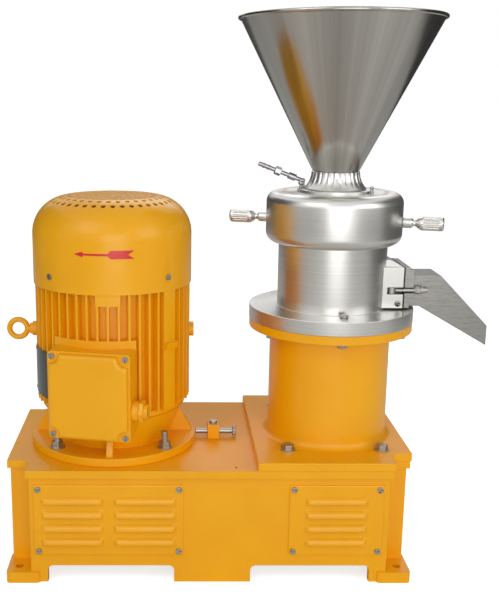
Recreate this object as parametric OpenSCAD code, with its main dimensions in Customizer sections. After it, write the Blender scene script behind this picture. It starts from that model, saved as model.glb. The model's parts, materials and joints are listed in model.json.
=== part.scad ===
// Split colloid mill: a vertical grinding head and its flange motor side by side on one cast base.
// Origin: floor level, centre of the four floor bolts. +X to the outlet, +Y to the back, +Z up.

/* [Base] */
// Length of the base casting
base_l = 700; // [680:5:760]
// Depth of the base casting
base_d = 360; // [350:5:400]
// Height of the base top above the floor
base_h = 207; // [200:1:240]
// Wall of the base casting
base_wall = 12; // [8:1:14]
// Thickness of the base top
base_top_t = 14; // [10:1:16]
// Length of the cut-out at each vertical corner
corner_l = 38; // [34:1:42]
// Depth of the cut-out at each vertical corner
corner_d = 46; // [40:1:50]
// Fillet in each corner cut-out
corner_r = 14; // [6:1:18]
// Overhang of the top rim
rim_out = 5; // [3.5:0.5:8]
// Height of the top rim
rim_t = 14; // [8:1:18]
// Thickness of the floor-bolt pads
pad_t = 20; // [12:1:28]
// Diameter of the floor-bolt holes
floor_bolt_d = 14; // [10:1:16]
// Floor-bolt hole to the end of the base
floor_bolt_end = 20; // [16:1:24]
// Floor-bolt hole to the side of the base
floor_bolt_side = 24; // [18:1:30]
// Height of the gaps between the feet
foot_gap_h = 31; // [20:1:40]
// Corner radius of the gaps between the feet
foot_gap_r = 10; // [4:1:14]
// Length of the end feet
end_foot_l = 72; // [60:1:90]
// Length of the middle foot
mid_foot_l = 132; // [100:2:160]
// Middle of the middle foot along the base
mid_foot_x = 6; // [-10:1:20]

/* [Side covers] */
// Length of the covers at the motor end
long_cover_l = 255; // [250:1:262]
// Length of the covers at the mill end
short_cover_l = 161; // [150:1:170]
// Covers' upper edge to the top of the base
cover_top_gap = 27; // [21:1:37]
// Height of the covers' lower edge above the floor
cover_z = 52; // [46:1:56]
// Sheet thickness of the covers
cover_t = 3; // [2:0.5:3.5]
// Overlap of the covers on the casting
cover_lap = 12; // [11:0.5:14]
// Thread diameter of the cover screws
cover_screw_d = 6; // [4:0.5:6]
// Cover edge to the middle of a cover screw
cover_screw_inset = 7.5; // [6:0.5:8]
// Length of a louvre
louvre_l = 104; // [90:1:105]
// Space between two louvres in a row
louvre_space = 20; // [12:1:20]
// Pitch between the rows of louvres
louvre_pitch = 25; // [22:0.5:27]
// Number of louvre rows
louvre_rows = 4; // [2:1:4]
// Radius of a louvre's hood
louvre_r = 12; // [10:0.5:13]
// How far a louvre stands out of the sheet
louvre_out = 6; // [4.5:0.5:8]

/* [Drive] */
// Mill axis to the end of the base
mill_end = 130; // [128:1:134]
// Distance between the motor and mill axes
axis_gap = 391; // [385:1:396]
// How far the two axes lie in front of the base's middle
axis_front = 15; // [8:1:18]
// Pitch diameter of both pulleys
pulley_d = 120; // [108:1:122]
// Width of each pulley
pulley_w = 50; // [46:1:52]
// Number of belts
belt_count = 3; // [1:1:3]
// Pitch between the belts
belt_pitch = 15; // [14.5:0.25:15.5]
// Travel of the motor each way while the belts are tightened
motor_travel = 6; // [3:0.5:8]
// Diameter of the tightening screw
jack_d = 10; // [8:0.5:10]
// Length of the tightening screw without its head
jack_l = 68; // [60:1:72]
// Length, depth and height of the block that the tightening screw runs in
jack_block = [22, 30, 26]; // [18:1:36]
// Gap between the motor flange and the block
jack_block_gap = 22; // [14:1:26]

/* [Motor] */
// Radius of the motor flange
motor_flange_r = 150; // [148:0.5:152]
// Thickness of the motor flange
motor_flange_t = 15; // [12:1:18]
// Pitch circle of the motor's four studs
motor_pcd = 265; // [262:1:268]
// Diameter of the studs
motor_stud_d = 12; // [10:0.5:12]
// How far the studs stand above the flange
motor_stud_h = 30; // [24:1:36]
// Radius of the centring spigot under the flange
spigot_r = 104; // [100:1:106]
// Radius of the frame over its fins
frame_r = 137.5; // [136:0.5:138]
// Height of a fin
fin_h = 15; // [10:0.5:17]
// Thickness of a fin
fin_t = 4; // [3:0.5:6]
// Number of fins
fin_count = 48; // [36:2:50]
// Length of the finned frame
frame_h = 212; // [206:2:220]
// Height of the drive-end shield above the flange
shield_h = 71; // [68:1:80]
// Diameter of the motor shaft
motor_shaft_d = 38; // [36:0.5:38.5]
// How far the cowl stands out from the fins
cowl_out = 2.5; // [2:0.5:4.5]
// Height of the fan cowl
cowl_h = 151; // [140:1:170]
// Radius of the cowl's shoulder
cowl_round = 65; // [45:1:70]
// Sheet thickness of the cowl
cowl_t = 2; // [1:0.25:2]
// Pitch between the rings of cowl holes
cowl_hole_pitch = 15; // [13:0.5:16]
// Diameter of the cowl holes
cowl_hole_d = 8; // [6:0.5:9]
// Number of rings of cowl holes
cowl_hole_rings = 7; // [4:1:7]
// Outer radius of the cooling fan
fan_r = 112; // [90:1:120]
// Number of fan blades
fan_blades = 7; // [5:1:9]

/* [Terminal box] */
// Width of the terminal box
tbox_w = 142; // [134:1:146]
// Height of the terminal box
tbox_h = 152; // [140:1:154]
// Underside of the terminal box above the base
tbox_rise = 52; // [50:1:60]
// Fins to the front of the lid
tbox_depth = 34.5; // [30:0.5:42]
// Thickness of the lid
lid_t = 16; // [12:1:20]
// Edge thickness of the lid
lid_edge_t = 5; // [4:0.5:7]
// Angle of the box round the motor, from the front towards the left
tbox_angle = 11.5; // [6:0.5:16]
// Wall of the terminal box
tbox_wall = 5; // [4:0.5:6]
// Thread diameter of the lid and cowl screws
small_screw_d = 6; // [4:0.5:6]
// Thread diameter of the cable gland
gland_d = 32; // [25:1:34]

/* [Bearing housing] */
// Length of the housing's foot plate
plate_l = 271; // [262:1:275]
// Thickness of the housing's foot plate
plate_t = 15; // [12:1:20]
// Overhang of the foot plate past the base
plate_out = 2; // [0.5:0.5:4]
// Bolt spacing of the foot plate along the base
plate_bolt_x = 164; // [158:1:166]
// Bolt spacing of the foot plate across the base
plate_bolt_y = 236; // [230:2:240]
// Bolt diameter of the foot plate
plate_bolt_d = 12; // [10:0.5:12]
// Radius of the housing's column
column_r = 107; // [102:1:108]
// Height of the housing's column
column_h = 198; // [190:2:230]
// Wall of the housing's column
column_wall = 11; // [8:1:14]
// Fillet at the column's foot
column_fillet = 12; // [6:1:16]
// Radius of the housing's top flange
head_flange_r = 145; // [143:0.5:148]
// Thickness of the housing's top flange
head_flange_t = 16; // [12:1:20]

/* [Shaft bearings] */
// Outer radius of the rolling bearings
bearing_r = 45; // [44:0.5:46]
// Bore radius of the rolling bearings
bearing_bore_r = 20; // [19.5:0.25:20.5]
// Width of the rolling bearings
bearing_w = 23; // [20:0.5:24]
// Radius of a bearing ball
ball_r = 7.5; // [7:0.25:7.75]
// Number of balls in a bearing
ball_count = 8; // [6:1:10]
// Radius of the bearing caps
cap_r = 62; // [60:0.5:63]
// Thickness of the bearing caps
cap_t = 9; // [7:0.5:10]
// Thread diameter of the cap screws
cap_screw_d = 8; // [6:0.5:8]

/* [Grinding head] */
// Radius of the chamber flange
chamber_flange_r = 145.6; // [143:0.2:148]
// Thickness of the chamber flange
chamber_flange_t = 24; // [20:1:30]
// Radius of the chamber body
chamber_r = 95.5; // [95:0.5:97]
// Height of the chamber body above its flange
chamber_h = 113; // [110:1:125]
// Wall of the chamber body
chamber_wall = 12; // [9:1:13]
// Pitch radius of the chamber's flange bolts
chamber_bolt_r = 130; // [126:1:132]
// Thread diameter of the chamber's flange bolts
chamber_bolt_d = 10; // [8:0.5:10]
// Number of the chamber's flange bolts
chamber_bolt_count = 6; // [4:1:8]
// Radius of the chamber's neck inside the adjusting ring
neck_r = 84; // [82:0.5:86]
// Bore radius of the neck, which guides the stator carrier
guide_r = 76; // [75:0.5:77]
// Outer radius of the adjusting ring
ring_r = 119; // [117:0.5:122]
// Height of the adjusting ring
ring_h = 89; // [87:0.5:96]
// Edge rounding of the adjusting ring
ring_round = 18; // [12:0.5:20]
// Thickness of the adjusting ring's top
ring_top_t = 17; // [14:0.5:18]
// Radius of the carrier's boss in the top of the ring
boss_r = 66; // [64:0.5:68]
// Wall of the stator carrier round the stator
carrier_wall = 10; // [8:0.5:11]
// Largest radius of the rotor
rotor_r = 60; // [57:0.5:61]
// Smallest radius of the rotor
rotor_top_r = 40; // [37:0.5:43]
// Height of the rotor
rotor_h = 68; // [60:1:70]
// Gap between rotor and stator with the ring closed
mill_gap = 0.4; // [0.3:0.05:0.8]
// Rise of the stator over the ring's whole turn
stator_lift = 2; // [1:0.25:2.5]
// Radius of the feed throat
throat_r = 30; // [27:0.5:31]
// Depth of the rotor and stator teeth
tooth_depth = 3; // [2:0.25:3.5]
// Number of coarse teeth at the top
coarse_teeth = 16; // [10:1:18]
// Number of fine teeth at the bottom
fine_teeth = 32; // [20:2:36]
// Slant of the teeth
tooth_slant = 22; // [10:1:28]

/* [Hopper] */
// Outer radius of the hopper's mouth
hopper_r = 175; // [150:1:200]
// Outer radius of the hopper's foot
hopper_foot_r = 40; // [38:0.5:41]
// Height of the hopper above its nut
hopper_h = 257; // [200:5:300]
// Sheet thickness of the hopper
hopper_t = 2; // [1.5:0.25:2.5]
// Radius of the rolled rim
bead_r = 3.5; // [2.5:0.5:5]
// Height of the union nut under the hopper
union_h = 31; // [29:0.5:36]
// Radius of the union nut at its foot
union_foot_r = 54; // [50:0.5:55]
// Radius of the union nut at its top
union_top_r = 42; // [41:0.5:44]

/* [Handles] */
// Mill axis to the tip of a handle
handle_tip = 188; // [184:1:220]
// Diameter of a grip
grip_d = 24; // [20:1:28]
// Length of a grip
grip_l = 40; // [34:1:42]
// Thread diameter of a handle
handle_thread_d = 10; // [8:0.5:12]
// Height of the handles above the ring's underside
handle_rise = 39; // [34:1:44]
// Angle of the right handle towards the front
handle_angle = 17; // [8:1:26]

/* [Outlet] */
// Width of the outlet block
outlet_w = 100; // [98:1:104]
// Height of the outlet block
outlet_h = 72; // [70:1:76]
// Mill axis to the face of the outlet block
outlet_out = 118; // [116:1:122]
// Width of the outlet duct
duct_w = 60; // [52:1:62]
// Height of the outlet duct
duct_h = 46; // [40:1:48]
// Thickness of the outlet gasket
gasket_t = 2; // [1:0.25:3]
// Thickness of the chute's flange
chute_flange_t = 10; // [8:0.5:12]
// Sheet thickness of the chute
chute_t = 3; // [2:0.25:3.5]
// Width of the chute
chute_w = 68; // [60:1:68]
// Length of the chute's level top
chute_level_l = 57; // [50:1:64]
// Length of the chute's sloping top
chute_slope_l = 87; // [70:1:110]
// Fall of the chute's top
chute_drop = 90; // [70:1:96]
// Height of the chute's open end
chute_end_h = 36; // [30:1:40]
// Diameter of the swing bolt
swing_d = 8; // [6:0.5:8]
// Reach of the swing bolt past its pin
swing_l = 64; // [60:1:72]

/* [Hidden] */
$fn = 64;
over = 1;
run_fit = 0.05;
air_gap = 0.3;

// Metric fasteners: head radius, head height, nut height, washer radius as shares of the thread
hex_share = 0.92;
head_share = 0.65;
nut_share = 0.8;
pan_share = 0.85;
pan_h_share = 0.5;
washer_share = 1.1;
washer_t = 2;

// Axes
mill_x = base_l / 2 - mill_end;
motor_x = mill_x - axis_gap;
axis_y = -axis_front;

// Heights
top_under_z = base_h - base_top_t;
column_z = base_h + plate_t;
head_flange_z = column_z + column_h;
chamber_z = head_flange_z + head_flange_t;
body_z = chamber_z + chamber_flange_t;
shoulder_z = body_z + chamber_h;
ring_z = shoulder_z + air_gap;
ring_top_z = ring_z + ring_h;
neck_top_z = ring_top_z - ring_top_t - 1.6 * stator_lift;
boss_top_z = ring_top_z + 2 * stator_lift;
hopper_z = boss_top_z + union_h;

// Base
wall_y = base_d / 2 - rim_out;
floor_bolt_x = base_l / 2 - floor_bolt_end;
floor_bolt_y = base_d / 2 - floor_bolt_side;
cap_hole_r = cap_r + base_top_t / 2;
plate_x0 = base_l / 2 + plate_out - plate_l;
rim_hole_d = cover_screw_d;
rim_hole_x = plate_x0 - 3 * base_wall;
lock_d = 8;

// Pulleys and belts
pulley_z = top_under_z - base_top_t - pulley_w;
belt_w = 12.7;
belt_h = 10;
belt_half_angle = 17;
belt_line = 2.8;
groove_gap = air_gap;
groove_deep = belt_h + 2;
belt_z0 = pulley_z + pulley_w / 2 - (belt_count - 1) * belt_pitch / 2;
belt_r = pulley_d / 2 + belt_line;

// Bearings
ball_play = 0.12;
race_mid_r = (bearing_bore_r + bearing_r) / 2;
race_inner_r = race_mid_r - ball_r * 0.73;
race_outer_r = race_mid_r + ball_r * 0.73;
cap_lip_r = bearing_bore_r + 2;
cap_pcd_r = (bearing_r + cap_r) / 2;

// Mill shaft line
lower_bearing_z = column_z + plate_t / 2;
upper_bearing_z = chamber_z - bearing_w - 26;
housing_bore_r = bearing_r - 5;
sleeve_r = cap_r + 2;
shaft_mid_r = bearing_bore_r + 4;
shaft_pulley_r = bearing_bore_r - 1;
shaft_top_r = bearing_bore_r - 5;
shaft_thread_r = shaft_top_r - 3;

// Chamber
cap_recess_z = chamber_z + cap_t + air_gap;
seal_r = bearing_bore_r + 11;
cavity_z = body_z + chamber_wall / 3;
cavity_r = chamber_r - chamber_wall;
cavity_top_z = shoulder_z - 28;
carrier_z = cavity_top_z + 7;
carrier_disc_t = 14;
carrier_top_z = neck_top_z;
carrier_disc_z = carrier_top_z - carrier_disc_t;
carrier_r = guide_r - run_fit;
stator_r = guide_r - carrier_wall;
rotor_z = carrier_z - 4;
rotor_top_z = rotor_z + rotor_h;
rotor_half_angle = atan((rotor_r - rotor_top_r) / rotor_h);
rotor_gap_r = mill_gap / cos(rotor_half_angle);
seal_ring_h = 22;
guide_pin_r = 3;
guide_pin_z = (carrier_disc_z + shoulder_z) / 2;
seal_cord_r = 2;
seal_cord_z = carrier_z + 9;

// Outlet
outlet_z = body_z + 3;
duct_z = outlet_z + 9;
pin_x = outlet_out - 19;
pin_y = -outlet_w / 2 + swing_d;
pin_r = 3;
slot_h = 1.5 * swing_d;
swing_z = outlet_z + 31;
gasket_x = outlet_out;
chute_x = gasket_x + gasket_t;
ear_t = 17;
ear_low = 17;
ear_high = 36;
ear_front = swing_d / 2;
nut_nose_l = 3;
nut_nose_r = 0.75 * swing_d;
clamp_l = 17;

// Side covers
cover_h = base_h - cover_z - cover_top_gap;
long_cover_x = motor_x - 1;
short_cover_x = mill_x - 3;

// Motor
shield_z = base_h + motor_flange_t;
frame_z = shield_z + shield_h;
frame_top_z = frame_z + frame_h;
frame_root_r = frame_r - fin_h;
frame_bore_r = frame_root_r - 17;
pad_r = frame_r + over / 2;
bell_foot_r = 100;
bell_top_r = frame_root_r + 5;
hub_r = bearing_r + 12;
end_bearing_z = base_h + 22;
rear_bearing_z = frame_top_z - bearing_w + 1;
rear_shield_t = 8;
cowl_z = frame_top_z - 2;
cowl_r = frame_r + cowl_out;
cowl_lug_r = fan_r + 4;
cowl_lug_h = 30;
cowl_screw_z = frame_top_z + 22;
core_r = frame_bore_r - 37.5;
core_z = frame_z + 30;
core_h = frame_h - 82;
coil_h = 20;
eye_z = frame_z + frame_h / 2 + 14;
eye_ring_r = 16;
eye_wire_r = 5;
eye_out = frame_r + 33.5;
boss_out = frame_r + fin_h / 2;
eye_boss_r = 13;
fan_z = frame_top_z + rear_shield_t + 6;
fan_h = 42;
fan_hub_r = 26;
fan_t = 3;
jack_z = base_h + 11;
jack_block_x = motor_x + motor_flange_r + jack_block_gap + jack_block[0] / 2;

// Terminal box
tbox_z = base_h + tbox_rise;
tbox_back = frame_r - 30;
tbox_out = frame_r + tbox_depth;
tbox_pad_h = 132;
lid_corner_r = 12;
lid_screw_inset = 8;
gland_rise = 50;
gland_l = 26;
gland_x = tbox_out - lid_t - gland_d / 2;

// Handles and fittings
handle_z = ring_z + handle_rise;
handle_hole_r = ring_r - 16;
stem_r = 9;
stem_l = 18;
waist_r = 5;
nozzle_foot_r = boss_r - 6.5;
nozzle_foot_angle = 155;
nozzle_rise_angle = 21;
nozzle_r = 4;
nozzle_foot_h = 12;
nozzle_l = 84;
vent_angle = 170;
nipple_r = boss_r + 5.5;
nipple_angle = -40;
nipple_stem_r = 2.5;

enamel = "#F0A81C";
steel = "#B9BAB6";
zinc = "#A9ABA6";
iron = "#3C3A36";
rubber = "#202020";
copper = "#B06A3C";
plastic = "#2E2E30";

// Places: the children are drawn about the named axis
module at_mill(z = 0) translate([mill_x, axis_y, z]) children();
module at_motor(z = 0) translate([motor_x, axis_y, z]) children();

// Copies at equal angles round the Z axis
module around(count, r, start = 0) {
  for (i = [0:count - 1]) rotate(start + i * 360 / count) translate([r, 0, 0]) children();
}

// Copies at the four corners of a rectangle
module at_corners(x, y) {
  for (sx = [-1, 1], sy = [-1, 1]) translate([sx * x, sy * y, 0]) children();
}

// A tube standing on the XY plane
module tube(r_out, r_in, h) {
  difference() {
    cylinder(r = r_out, h = h);
    translate([0, 0, -over]) cylinder(r = r_in, h = h + 2 * over);
  }
}

// A plate with its four upright corners rounded, its lower face in the XY plane
module rounded_plate(x, y, h, r) {
  translate([-x / 2 + r, -y / 2, 0]) cube([x - 2 * r, y, h]);
  translate([-x / 2, -y / 2 + r, 0]) cube([x, y - 2 * r, h]);
  at_corners(x / 2 - r, y / 2 - r) cylinder(r = r, h = h);
}

// The base's outline: a rectangle with a filleted cut-out at each corner
module cross_prism(l, d, h) {
  inner_x = l / 2 - corner_l;
  inner_y = d / 2 - corner_d;
  translate([-l / 2, -inner_y, 0]) cube([l, 2 * inner_y, h]);
  translate([-inner_x, -d / 2, 0]) cube([2 * inner_x, d, h]);
  for (sx = [0, 1], sy = [0, 1]) mirror([sx, 0, 0]) mirror([0, sy, 0])
    translate([inner_x, inner_y, 0]) difference() {
      translate([-over, -over, 0]) cube([corner_r + over, corner_r + over, h]);
      translate([corner_r, corner_r, -over]) cylinder(r = corner_r, h = h + 2 * over);
    }
}

// A hexagon-headed bolt: the seat of its head in the XY plane, its shank down
module hex_bolt(d, l) {
  cylinder(r = d * hex_share, h = d * head_share, $fn = 6);
  translate([0, 0, -l]) cylinder(r = d / 2, h = l + over);
}

// The same bolt with a washer under its head
module washer_bolt(d, l) {
  cylinder(r = d * washer_share, h = washer_t);
  translate([0, 0, washer_t]) hex_bolt(d, l + washer_t);
}

// A slotted pan-head screw, its shank down
module pan_screw(d, l) {
  difference() {
    union() {
      cylinder(r = d * pan_share, h = d * pan_h_share);
      translate([0, 0, -l]) cylinder(r = d / 2, h = l + over);
    }
    translate([-d, -d / 10, d * pan_h_share * 0.6]) cube([2 * d, d / 5, d]);
  }
}

// Base

module foot_gap(x0, x1) {
  l = x1 - x0;
  translate([x0, 0, 0]) {
    translate([0, -base_d, -over]) cube([l, 2 * base_d, foot_gap_h - foot_gap_r + over]);
    translate([foot_gap_r, -base_d, -over]) cube([l - 2 * foot_gap_r, 2 * base_d, foot_gap_h + over]);
    for (x = [foot_gap_r, l - foot_gap_r]) translate([x, base_d, foot_gap_h - foot_gap_r])
      rotate([90, 0, 0]) cylinder(r = foot_gap_r, h = 2 * base_d);
  }
}

// The children at each cover screw, pointing out of the front
module at_cover_screws() {
  for (c = [[long_cover_x, long_cover_l], [short_cover_x, short_cover_l]], sx = [-1, 1])
    for (z = [cover_z + cover_screw_inset, cover_z + cover_h - cover_screw_inset])
      translate([c[0] + sx * (c[1] / 2 - cover_screw_inset), -wall_y, z])
        rotate([90, 0, 0]) children();
}

module cover_window(x, l) {
  translate([x - l / 2 + cover_lap, -base_d, cover_z + cover_lap])
    cube([l - 2 * cover_lap, 2 * base_d, cover_h - 2 * cover_lap]);
}

module travel_slot(r, h) {
  for (sx = [-1, 1]) translate([sx * motor_travel, 0, 0]) cylinder(r = r, h = h);
  translate([-motor_travel, -r, 0]) cube([2 * motor_travel, 2 * r, h]);
}

module base_frame() color(enamel) {
  wall_l = base_l - 2 * rim_out;
  wall_d = base_d - 2 * rim_out;
  cut_z = top_under_z - over;
  cut_h = base_top_t + 2 * over;
  difference() {
    union() {
      difference() {
        cross_prism(wall_l, wall_d, base_h);
        translate([0, 0, -over])
          cross_prism(wall_l - 2 * base_wall, wall_d - 2 * base_wall, top_under_z + over);
      }
      translate([0, 0, base_h - rim_t]) difference() {
        cross_prism(base_l, base_d, rim_t);
        translate([0, 0, -over])
          cross_prism(wall_l - base_wall, wall_d - base_wall, rim_t + 2 * over);
      }
      at_corners(floor_bolt_x - corner_l / 4, floor_bolt_y - corner_d / 4)
        rounded_plate(
          2 * floor_bolt_end + corner_l / 2, 2 * floor_bolt_side + corner_d / 2, pad_t, corner_r / 2);
    }
    foot_gap(-base_l / 2 + end_foot_l, mid_foot_x - mid_foot_l / 2);
    foot_gap(mid_foot_x + mid_foot_l / 2, base_l / 2 - end_foot_l);
    at_corners(floor_bolt_x, floor_bolt_y)
      translate([0, 0, -over]) cylinder(d = floor_bolt_d, h = pad_t + 2 * over);
    cover_window(long_cover_x, long_cover_l);
    cover_window(short_cover_x, short_cover_l);
    for (side = [0, 1]) mirror([0, side, 0]) at_cover_screws()
      translate([0, 0, -base_wall - over]) cylinder(d = cover_screw_d, h = base_wall + 2 * over);
    at_motor(cut_z) travel_slot(spigot_r + air_gap, cut_h);
    at_motor(cut_z) for (a = [45:90:315]) rotate(a) translate([motor_pcd / 2, 0, 0])
      rotate(-a) travel_slot(motor_stud_d / 2 + over, cut_h);
    at_mill(cut_z) cylinder(r = cap_hole_r, h = cut_h);
    translate([mill_x, 0, cut_z]) at_corners(plate_bolt_x / 2, plate_bolt_y / 2)
      cylinder(d = plate_bolt_d, h = cut_h);
    translate([rim_hole_x, -wall_y + base_wall, cut_z]) cylinder(d = rim_hole_d, h = cut_h);
  }
}

// A louvre's hood in front of a sheet whose face is the plane Y = 0, its mouth down
module hood(l, r, grow) {
  sink = louvre_r - louvre_out;
  intersection() {
    translate([-l / 2, sink, 0]) rotate([0, 90, 0]) cylinder(r = r, h = l);
    translate([-l, -2 * louvre_r, -grow]) cube([2 * l, 2 * louvre_r + grow, 2 * louvre_r]);
  }
}

module cover(x, l, columns) color(enamel) {
  row_l = columns * louvre_l + (columns - 1) * louvre_space;
  face_y = -wall_y - cover_t;
  mid_z = cover_z + cover_h / 2;
  sheet_t = cover_t / 2;
  places = [for (c = [0:columns - 1], r = [0:louvre_rows - 1])
    [x - row_l / 2 + louvre_l / 2 + c * (louvre_l + louvre_space),
     mid_z + (r - louvre_rows / 2) * louvre_pitch + louvre_pitch / 2 - louvre_r / 2]];
  difference() {
    union() {
      translate([x - l / 2, face_y, cover_z]) cube([l, cover_t, cover_h]);
      for (p = places) translate([p[0], face_y, p[1]]) hood(louvre_l, louvre_r, 0);
    }
    for (p = places) translate([p[0], face_y, p[1]])
      hood(louvre_l - 2 * sheet_t, louvre_r - sheet_t, cover_t + over);
    at_cover_screws() translate([0, 0, -over]) cylinder(d = cover_screw_d, h = cover_t + 2 * over);
  }
}

module front_left_cover() cover(long_cover_x, long_cover_l, 2);
module front_right_cover() cover(short_cover_x, short_cover_l, 1);
module rear_left_cover() mirror([0, 1, 0]) cover(long_cover_x, long_cover_l, 2);
module rear_right_cover() mirror([0, 1, 0]) cover(short_cover_x, short_cover_l, 1);

module cover_screws() color(zinc)
  for (side = [0, 1]) mirror([0, side, 0]) at_cover_screws()
    translate([0, 0, cover_t]) pan_screw(cover_screw_d, base_wall + cover_t);

module jack_block() color(enamel) {
  size = jack_block;
  translate([jack_block_x, axis_y, base_h]) difference() {
    translate([-size[0] / 2, -size[1] / 2, 0]) cube(size);
    translate([-size[0], 0, jack_z - base_h]) rotate([0, 90, 0])
      cylinder(r = jack_d / 2 + run_fit, h = 2 * size[0]);
    translate([0, 0, jack_z - base_h]) cylinder(d = lock_d, h = size[2]);
  }
}

module jack_screw() color(zinc) {
  tip_x = motor_x + motor_flange_r + air_gap;
  translate([tip_x, axis_y, jack_z]) rotate([0, 90, 0]) {
    cylinder(d = jack_d, h = jack_l);
    translate([0, 0, jack_l]) cylinder(r = jack_d * hex_share, h = jack_d * head_share, $fn = 6);
  }
}

module base_bolts() color(zinc) {
  lock_l = jack_block[2] - (jack_z - base_h) - jack_d / 2 - over;
  translate([mill_x, 0, column_z]) at_corners(plate_bolt_x / 2, plate_bolt_y / 2)
    washer_bolt(plate_bolt_d, plate_t + base_top_t);
  translate([jack_block_x, axis_y, base_h + jack_block[2]]) hex_bolt(lock_d, lock_l);
}

// Bearing housing

module bearing_housing() color(enamel) {
  foot_l = base_l + 2 * plate_out;
  foot_d = base_d + 2 * plate_out;
  difference() {
    union() {
      intersection() {
        translate([0, 0, base_h]) cross_prism(foot_l, foot_d, plate_t);
        translate([plate_x0, -foot_d, base_h - over]) cube([plate_l, 2 * foot_d, plate_t + 2 * over]);
      }
      at_mill(base_h) cylinder(r = column_r, h = plate_t + column_h);
      at_mill(head_flange_z) cylinder(r = head_flange_r, h = head_flange_t);
      at_mill(column_z) rotate_extrude() difference() {
        square([column_r + column_fillet, column_fillet]);
        translate([column_r + column_fillet, column_fillet]) circle(r = column_fillet);
      }
    }
    at_mill(base_h - over) {
      cylinder(r = bearing_r, h = lower_bearing_z + bearing_w - base_h + over);
      cylinder(r = housing_bore_r, h = chamber_z);
      tube(column_r - column_wall, sleeve_r, upper_bearing_z - base_h);
    }
    at_mill(upper_bearing_z) cylinder(r = bearing_r, h = chamber_z);
    translate([mill_x, 0, base_h - over]) at_corners(plate_bolt_x / 2, plate_bolt_y / 2)
      cylinder(d = plate_bolt_d, h = plate_t + 2 * over);
    at_mill(base_h - over) around(4, cap_pcd_r, 45) cylinder(d = cap_screw_d, h = 2 * cap_screw_d + over);
    at_mill(chamber_z - 2 * cap_screw_d) around(4, cap_pcd_r, 45)
      cylinder(d = cap_screw_d, h = 2 * cap_screw_d + over);
    at_mill(head_flange_z - over) around(chamber_bolt_count, chamber_bolt_r, 30)
      cylinder(d = chamber_bolt_d, h = head_flange_t + 2 * over);
  }
}

// A bearing cap lying under the plane Z = 0, its spigot reaching up into the seat
module bearing_cap(spigot_l) difference() {
  union() {
    translate([0, 0, -cap_t]) cylinder(r = cap_r, h = cap_t);
    cylinder(r = bearing_r, h = spigot_l);
  }
  translate([0, 0, -cap_t - over]) cylinder(r = cap_lip_r, h = cap_t + spigot_l + 2 * over);
  translate([0, 0, over]) cylinder(r = housing_bore_r, h = spigot_l);
  translate([0, 0, -cap_t - over]) around(4, cap_pcd_r, 45)
    cylinder(d = cap_screw_d, h = cap_t + 2 * over);
}

module lower_bearing_cap() color(iron) at_mill(base_h) bearing_cap(lower_bearing_z - base_h);

module upper_bearing_cap() color(iron)
  at_mill(chamber_z) mirror([0, 0, 1]) bearing_cap(chamber_z - upper_bearing_z - bearing_w);

// The caps' countersunk screws, flush with the caps
module bearing_cap_screws() color(zinc) {
  at_mill(base_h - cap_t) mirror([0, 0, 1]) around(4, cap_pcd_r, 45)
    translate([0, 0, -cap_t - cap_screw_d]) cylinder(d = cap_screw_d, h = cap_t + cap_screw_d);
  at_mill(chamber_z + cap_t) around(4, cap_pcd_r, 45)
    translate([0, 0, -cap_t - cap_screw_d]) cylinder(d = cap_screw_d, h = cap_t + cap_screw_d);
}

// A ball bearing's parts, each standing on the XY plane
module race_groove() translate([0, 0, bearing_w / 2])
  rotate_extrude() translate([race_mid_r, 0]) circle(r = ball_r + ball_play);

module outer_race() difference() {
  tube(bearing_r, race_outer_r, bearing_w);
  race_groove();
}

module inner_set() {
  difference() {
    tube(race_inner_r, bearing_bore_r, bearing_w);
    race_groove();
  }
  translate([0, 0, bearing_w / 2]) around(ball_count, race_mid_r) sphere(r = ball_r);
}

module mill_bearing_outer_rings() color(steel)
  for (z = [lower_bearing_z, upper_bearing_z]) at_mill(z) outer_race();

module mill_bearing_inner_sets() color(steel)
  for (z = [lower_bearing_z, upper_bearing_z]) at_mill(z) inner_set();

module main_shaft() color(steel) at_mill() {
  shaft_z = pulley_z - cap_t;
  translate([0, 0, shaft_z]) cylinder(r = shaft_pulley_r, h = lower_bearing_z - shaft_z);
  translate([0, 0, lower_bearing_z]) cylinder(r = bearing_bore_r, h = rotor_z - lower_bearing_z);
  translate([0, 0, lower_bearing_z + bearing_w])
    cylinder(r = shaft_mid_r, h = upper_bearing_z - lower_bearing_z - bearing_w);
  translate([0, 0, rotor_z - over]) cylinder(r = shaft_top_r, h = rotor_h + over);
  translate([0, 0, rotor_top_z - over]) cylinder(r = shaft_thread_r, h = 2 * shaft_thread_r + over);
}

// Belt drive

// Section of a belt or of its groove: wide side at radius r, narrow side further in
module vee(r, w, deep) {
  narrow = w - 2 * deep * tan(belt_half_angle);
  polygon([[r, -w / 2], [r, w / 2], [r - deep, narrow / 2], [r - deep, -narrow / 2]]);
}

module belt_levels() {
  for (i = [0:belt_count - 1]) translate([0, 0, belt_z0 + i * belt_pitch]) children();
}

module pulley(bore_r) {
  groove_w = belt_w + 2 * (groove_gap / cos(belt_half_angle) + over * tan(belt_half_angle));
  difference() {
    translate([0, 0, pulley_z]) tube(belt_r, bore_r, pulley_w);
    belt_levels() rotate_extrude() vee(belt_r + over, groove_w, groove_deep + over);
    for (z = [pulley_z - over, pulley_z + pulley_w * 0.72]) translate([0, 0, z])
      tube(belt_r - 2 * groove_deep, bore_r + groove_deep, pulley_w * 0.28 + over);
  }
}

module mill_pulley() color(iron) at_mill() pulley(shaft_pulley_r);
module motor_pulley() color(iron) at_motor() pulley(motor_shaft_d / 2);

module v_belts() color(rubber) at_motor() belt_levels() {
  rotate(90) rotate_extrude(angle = 180) vee(belt_r, belt_w, belt_h);
  translate([axis_gap, 0, 0]) rotate(-90) rotate_extrude(angle = 180) vee(belt_r, belt_w, belt_h);
  for (side = [0, 1]) mirror([0, side, 0]) rotate(90)
    rotate([90, 0, 0]) linear_extrude(axis_gap) vee(belt_r, belt_w, belt_h);
}

// Grinding head

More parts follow.
